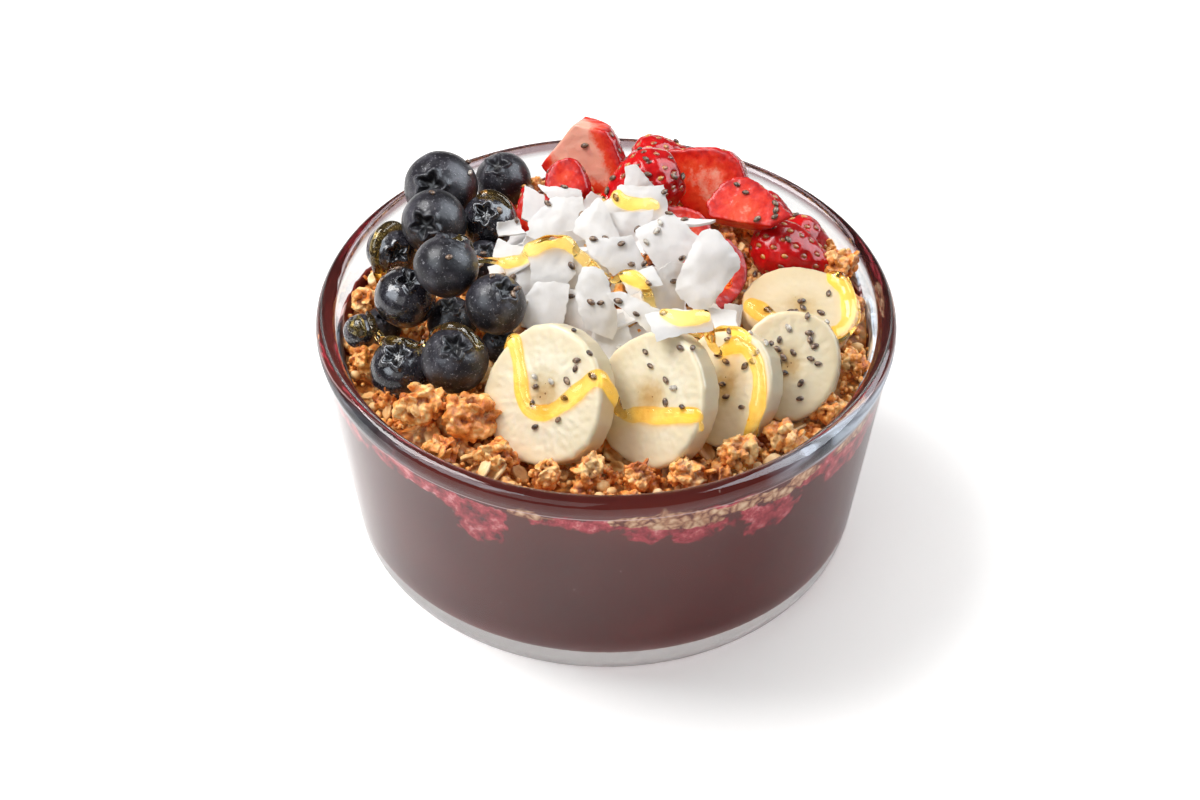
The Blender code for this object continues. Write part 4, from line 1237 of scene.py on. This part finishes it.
def model_rope(name, tree, stops, width, hang, seed):
    """A rope of honey lying over what is under it: a flat round section swept along a curve."""
    path = along_curve(np.array(stops) * MM, HONEY_STEP)
    tops = [top_at(tree, x, y) for x, y in path]
    low = np.array([top[0].z for top in tops])
    reach = int(hang * MM / HONEY_STEP / 2)
    wide = np.concatenate([[low[0]] * reach, low, [low[-1]] * reach])
    high = np.array([wide[step:step + 2 * reach + 1].max() for step in range(len(low))])
    wide = np.concatenate([[high[0]] * reach, high, [high[-1]] * reach])
    level = np.array([wide[step:step + 2 * reach + 1].min() for step in range(len(low))])
    level = np.maximum(smoothed(level, 3), low)
    level = smoothed(level, 2, 1)
    points = np.column_stack([path, level])
    ahead = np.gradient(points, axis=0)
    ahead /= np.linalg.norm(ahead, axis=1)[:, None]
    resting = np.clip(1 - (level - low) / (1.2 * MM), 0, 1)[:, None]
    up = resting * np.array([top[1] for top in tops]) + (1 - resting) * np.array((0, 0, 1.0))
    up = smoothed(up + 0.3 * np.array((0, 0, 1.0)), 5)
    up -= ahead * np.sum(up * ahead, 1)[:, None]
    up /= np.linalg.norm(up, axis=1)[:, None]
    across = np.cross(ahead, up)
    far = np.arange(len(points)) * HONEY_STEP
    end = np.minimum(far, far[-1] - far)
    round_end = np.sqrt(np.clip(1 - (1 - np.clip(end / (width / 2), 0, 1)) ** 2, 0.02, 1))
    swell = 1 + 0.28 * rough(points, 5 * MM, seed, 2)
    thin = 0.62 + 0.38 * resting[:, 0]
    half = width / 2 * round_end * swell * smoothed(thin, 3)
    rings = []
    for turn in np.linspace(0, 2 * math.pi, HONEY_SIDES, endpoint=False):
        side = points + across * (half * math.cos(turn))[:, None]
        drop = np.zeros(len(points))
        for index, (spot, way) in enumerate(zip(side, up)):
            hit = tree.ray_cast(Vector(spot + way * 2 * MM), Vector(-way), 4 * MM)
            if hit[0]:
                drop[index] = 2 * MM - hit[3]
        drop = smoothed(np.clip(drop, -1.6 * MM, 1.2 * MM), 2, 1)
        thick = 2 * half * HONEY_HEIGHT * math.sin(turn)
        if thick.min() < 0:
            round_one = 1 - resting[:, 0]
            thick = np.maximum(thick, -HONEY_SUNK * (1 - round_one) + thick * round_one)
        rings.append(side + up * (drop + thick)[:, None])
    rings = np.stack(rings, 1)
    count = len(points)
    faces = []
    for row in range(count - 1):
        for column in range(HONEY_SIDES):
            after = (column + 1) % HONEY_SIDES
            faces.append((row * HONEY_SIDES + column, row * HONEY_SIDES + after,
                          (row + 1) * HONEY_SIDES + after, (row + 1) * HONEY_SIDES + column))
    faces.append(tuple(range(HONEY_SIDES - 1, -1, -1)))
    faces.append(tuple((count - 1) * HONEY_SIDES + column for column in range(HONEY_SIDES)))
    mesh = bpy.data.meshes.new(name)
    mesh.from_pydata(rings.reshape(-1, 3).tolist(), [], faces)
    made = in_scene(name, mesh)
    pick(made)
    bpy.ops.object.mode_set(mode="EDIT")
    bpy.ops.mesh.select_all(action="SELECT")
    bpy.ops.mesh.normals_make_consistent(inside=False)
    bpy.ops.object.mode_set(mode="OBJECT")
    return made


# Honey: clear and golden yellow. The shadow it casts is golden too.
honey, tree, shader = new_material("clear golden honey", Roughness=0.03, IOR=1.48,
                                   Transmission_Weight=1.0)
place = add(tree, "TexCoord")
thickness = add(tree, "TexNoise", Vector=place, Scale=0.12 / MM, Detail=1.0)
gold = add(tree, "ValToRGB", Fac=thickness, stops=((0.3, "F8CC58"), (0.7, "FBE096")))
feed(shader, Base_Color=gold)
rays = add(tree, "LightPath")
glow = add(tree, "BsdfTransparent", Color=linear("FAD77A"))
both = add(tree, "MixShader", rays.outputs["Is Shadow Ray"], shader, glow)
feed(tree.nodes["Material Output"], Surface=both)

bedding = ("granola_core", "granola_clusters", "granola_lumps", "oat_flakes", "puffed_grains")
under = tree_of(fruit + [bpy.data.objects[name] for name in bedding])
ropes = [model_rope(f"rope_{number}", under, stops, width * MM, hang, number)
         for number, (width, hang, stops) in enumerate(HONEY_ROPES)]
pick(*ropes)
bpy.ops.object.join()
syrup = bpy.context.object
syrup.name = "honey"
syrup.data.name = "honey"
modify(syrup, "REMESH", mode="VOXEL", voxel_size=HONEY_GRAIN)
modify(syrup, "SMOOTH", factor=0.5, iterations=6)
points = points_of(syrup)
points[:, 2] = np.minimum(points[:, 2], CEILING)
put_points(syrup, points)
syrup.data.shade_smooth()
finish(syrup, honey)

# ------------------------------------------------------------------ chia seeds
# Chia seeds sprinkled over everything: glossy ovals two millimetres long, mottled grey-brown,
# a few of them nearly white.

CHIA_SIZE = np.array((1.3, 2.05, 1.0)) * MM
CHIA_GAP = 1.6 * MM
# Where they lie thickest: x and y in millimetres, spread, and how many.
CHIA_PATCHES = ((-12, -42, 8, 14), (14, -42, 9, 12), (33, -35, 7, 12), (47, -24, 8, 24),
                (51, -2, 7, 9), (5, -8, 16, 34), (2, 20, 16, 22), (-40, 0, 18, 22),
                (-40, 32, 15, 10), (20, 45, 18, 14), (40, 25, 10, 9), (0, 0, 38, 26))


def model_chia():
    """One seed: an oval, pointed a little at one end."""
    seed = ball(1.0, 2)
    points = points_of(seed)
    narrow = 1 - 0.22 * np.clip(points[:, 1], 0, 1)
    put_points(seed, points * CHIA_SIZE / 2 * 1.15 * np.stack([narrow, 0 * narrow + 1, narrow], 1))
    return seed


# Seed coats: dark brown marbled with paler grey-brown, a little glossy; pale seeds have no
# dark coat.
def seed_coat(name, *stops):
    made, tree, shader = new_material(name, Roughness=0.38, Coat_Weight=0.15, Coat_Roughness=0.2)
    place = add(tree, "TexCoord")
    marbling = add(tree, "TexNoise", Vector=place, Scale=1.1 / MM, Detail=3.0)
    feed(shader, Base_Color=add(tree, "ValToRGB", Fac=marbling, stops=stops))
    return made


dark_coat = seed_coat("dark chia seed coat", (0.36, "33241B"), (0.54, "775C48"), (0.66, "AE957C"))
pale_coat = seed_coat("pale chia seed coat", (0.40, "A79C90"), (0.62, "E4DED2"))

uneven = random.Random(21)
dark_places, pale_places, taken = [], [], []
for x, y, spread, count in CHIA_PATCHES:
    left = count
    while left:
        spot = (uneven.gauss(x, spread * 0.6) * MM, uneven.gauss(y, spread * 0.6) * MM)
        point, facing = top_at(under, *spot)
        left -= 1
        crowded = any((point - other).length < CHIA_GAP for other in taken)
        if facing.z < 0.35 or point.z > CEILING - CHIA_SIZE[2] or crowded:
            continue
        taken.append(point)
        lying = standing(point + facing * CHIA_SIZE[2] * 0.3, facing, any_way(uneven),
                         uneven.uniform(0.85, 1.1))
        (pale_places if uneven.random() < 0.14 else dark_places).append(lying)
seeds = copies("chia_seeds_dark", [model_chia()], dark_places)
finish(seeds, dark_coat)
seeds = copies("chia_seeds_pale", [model_chia()], pale_places)
finish(seeds, pale_coat)
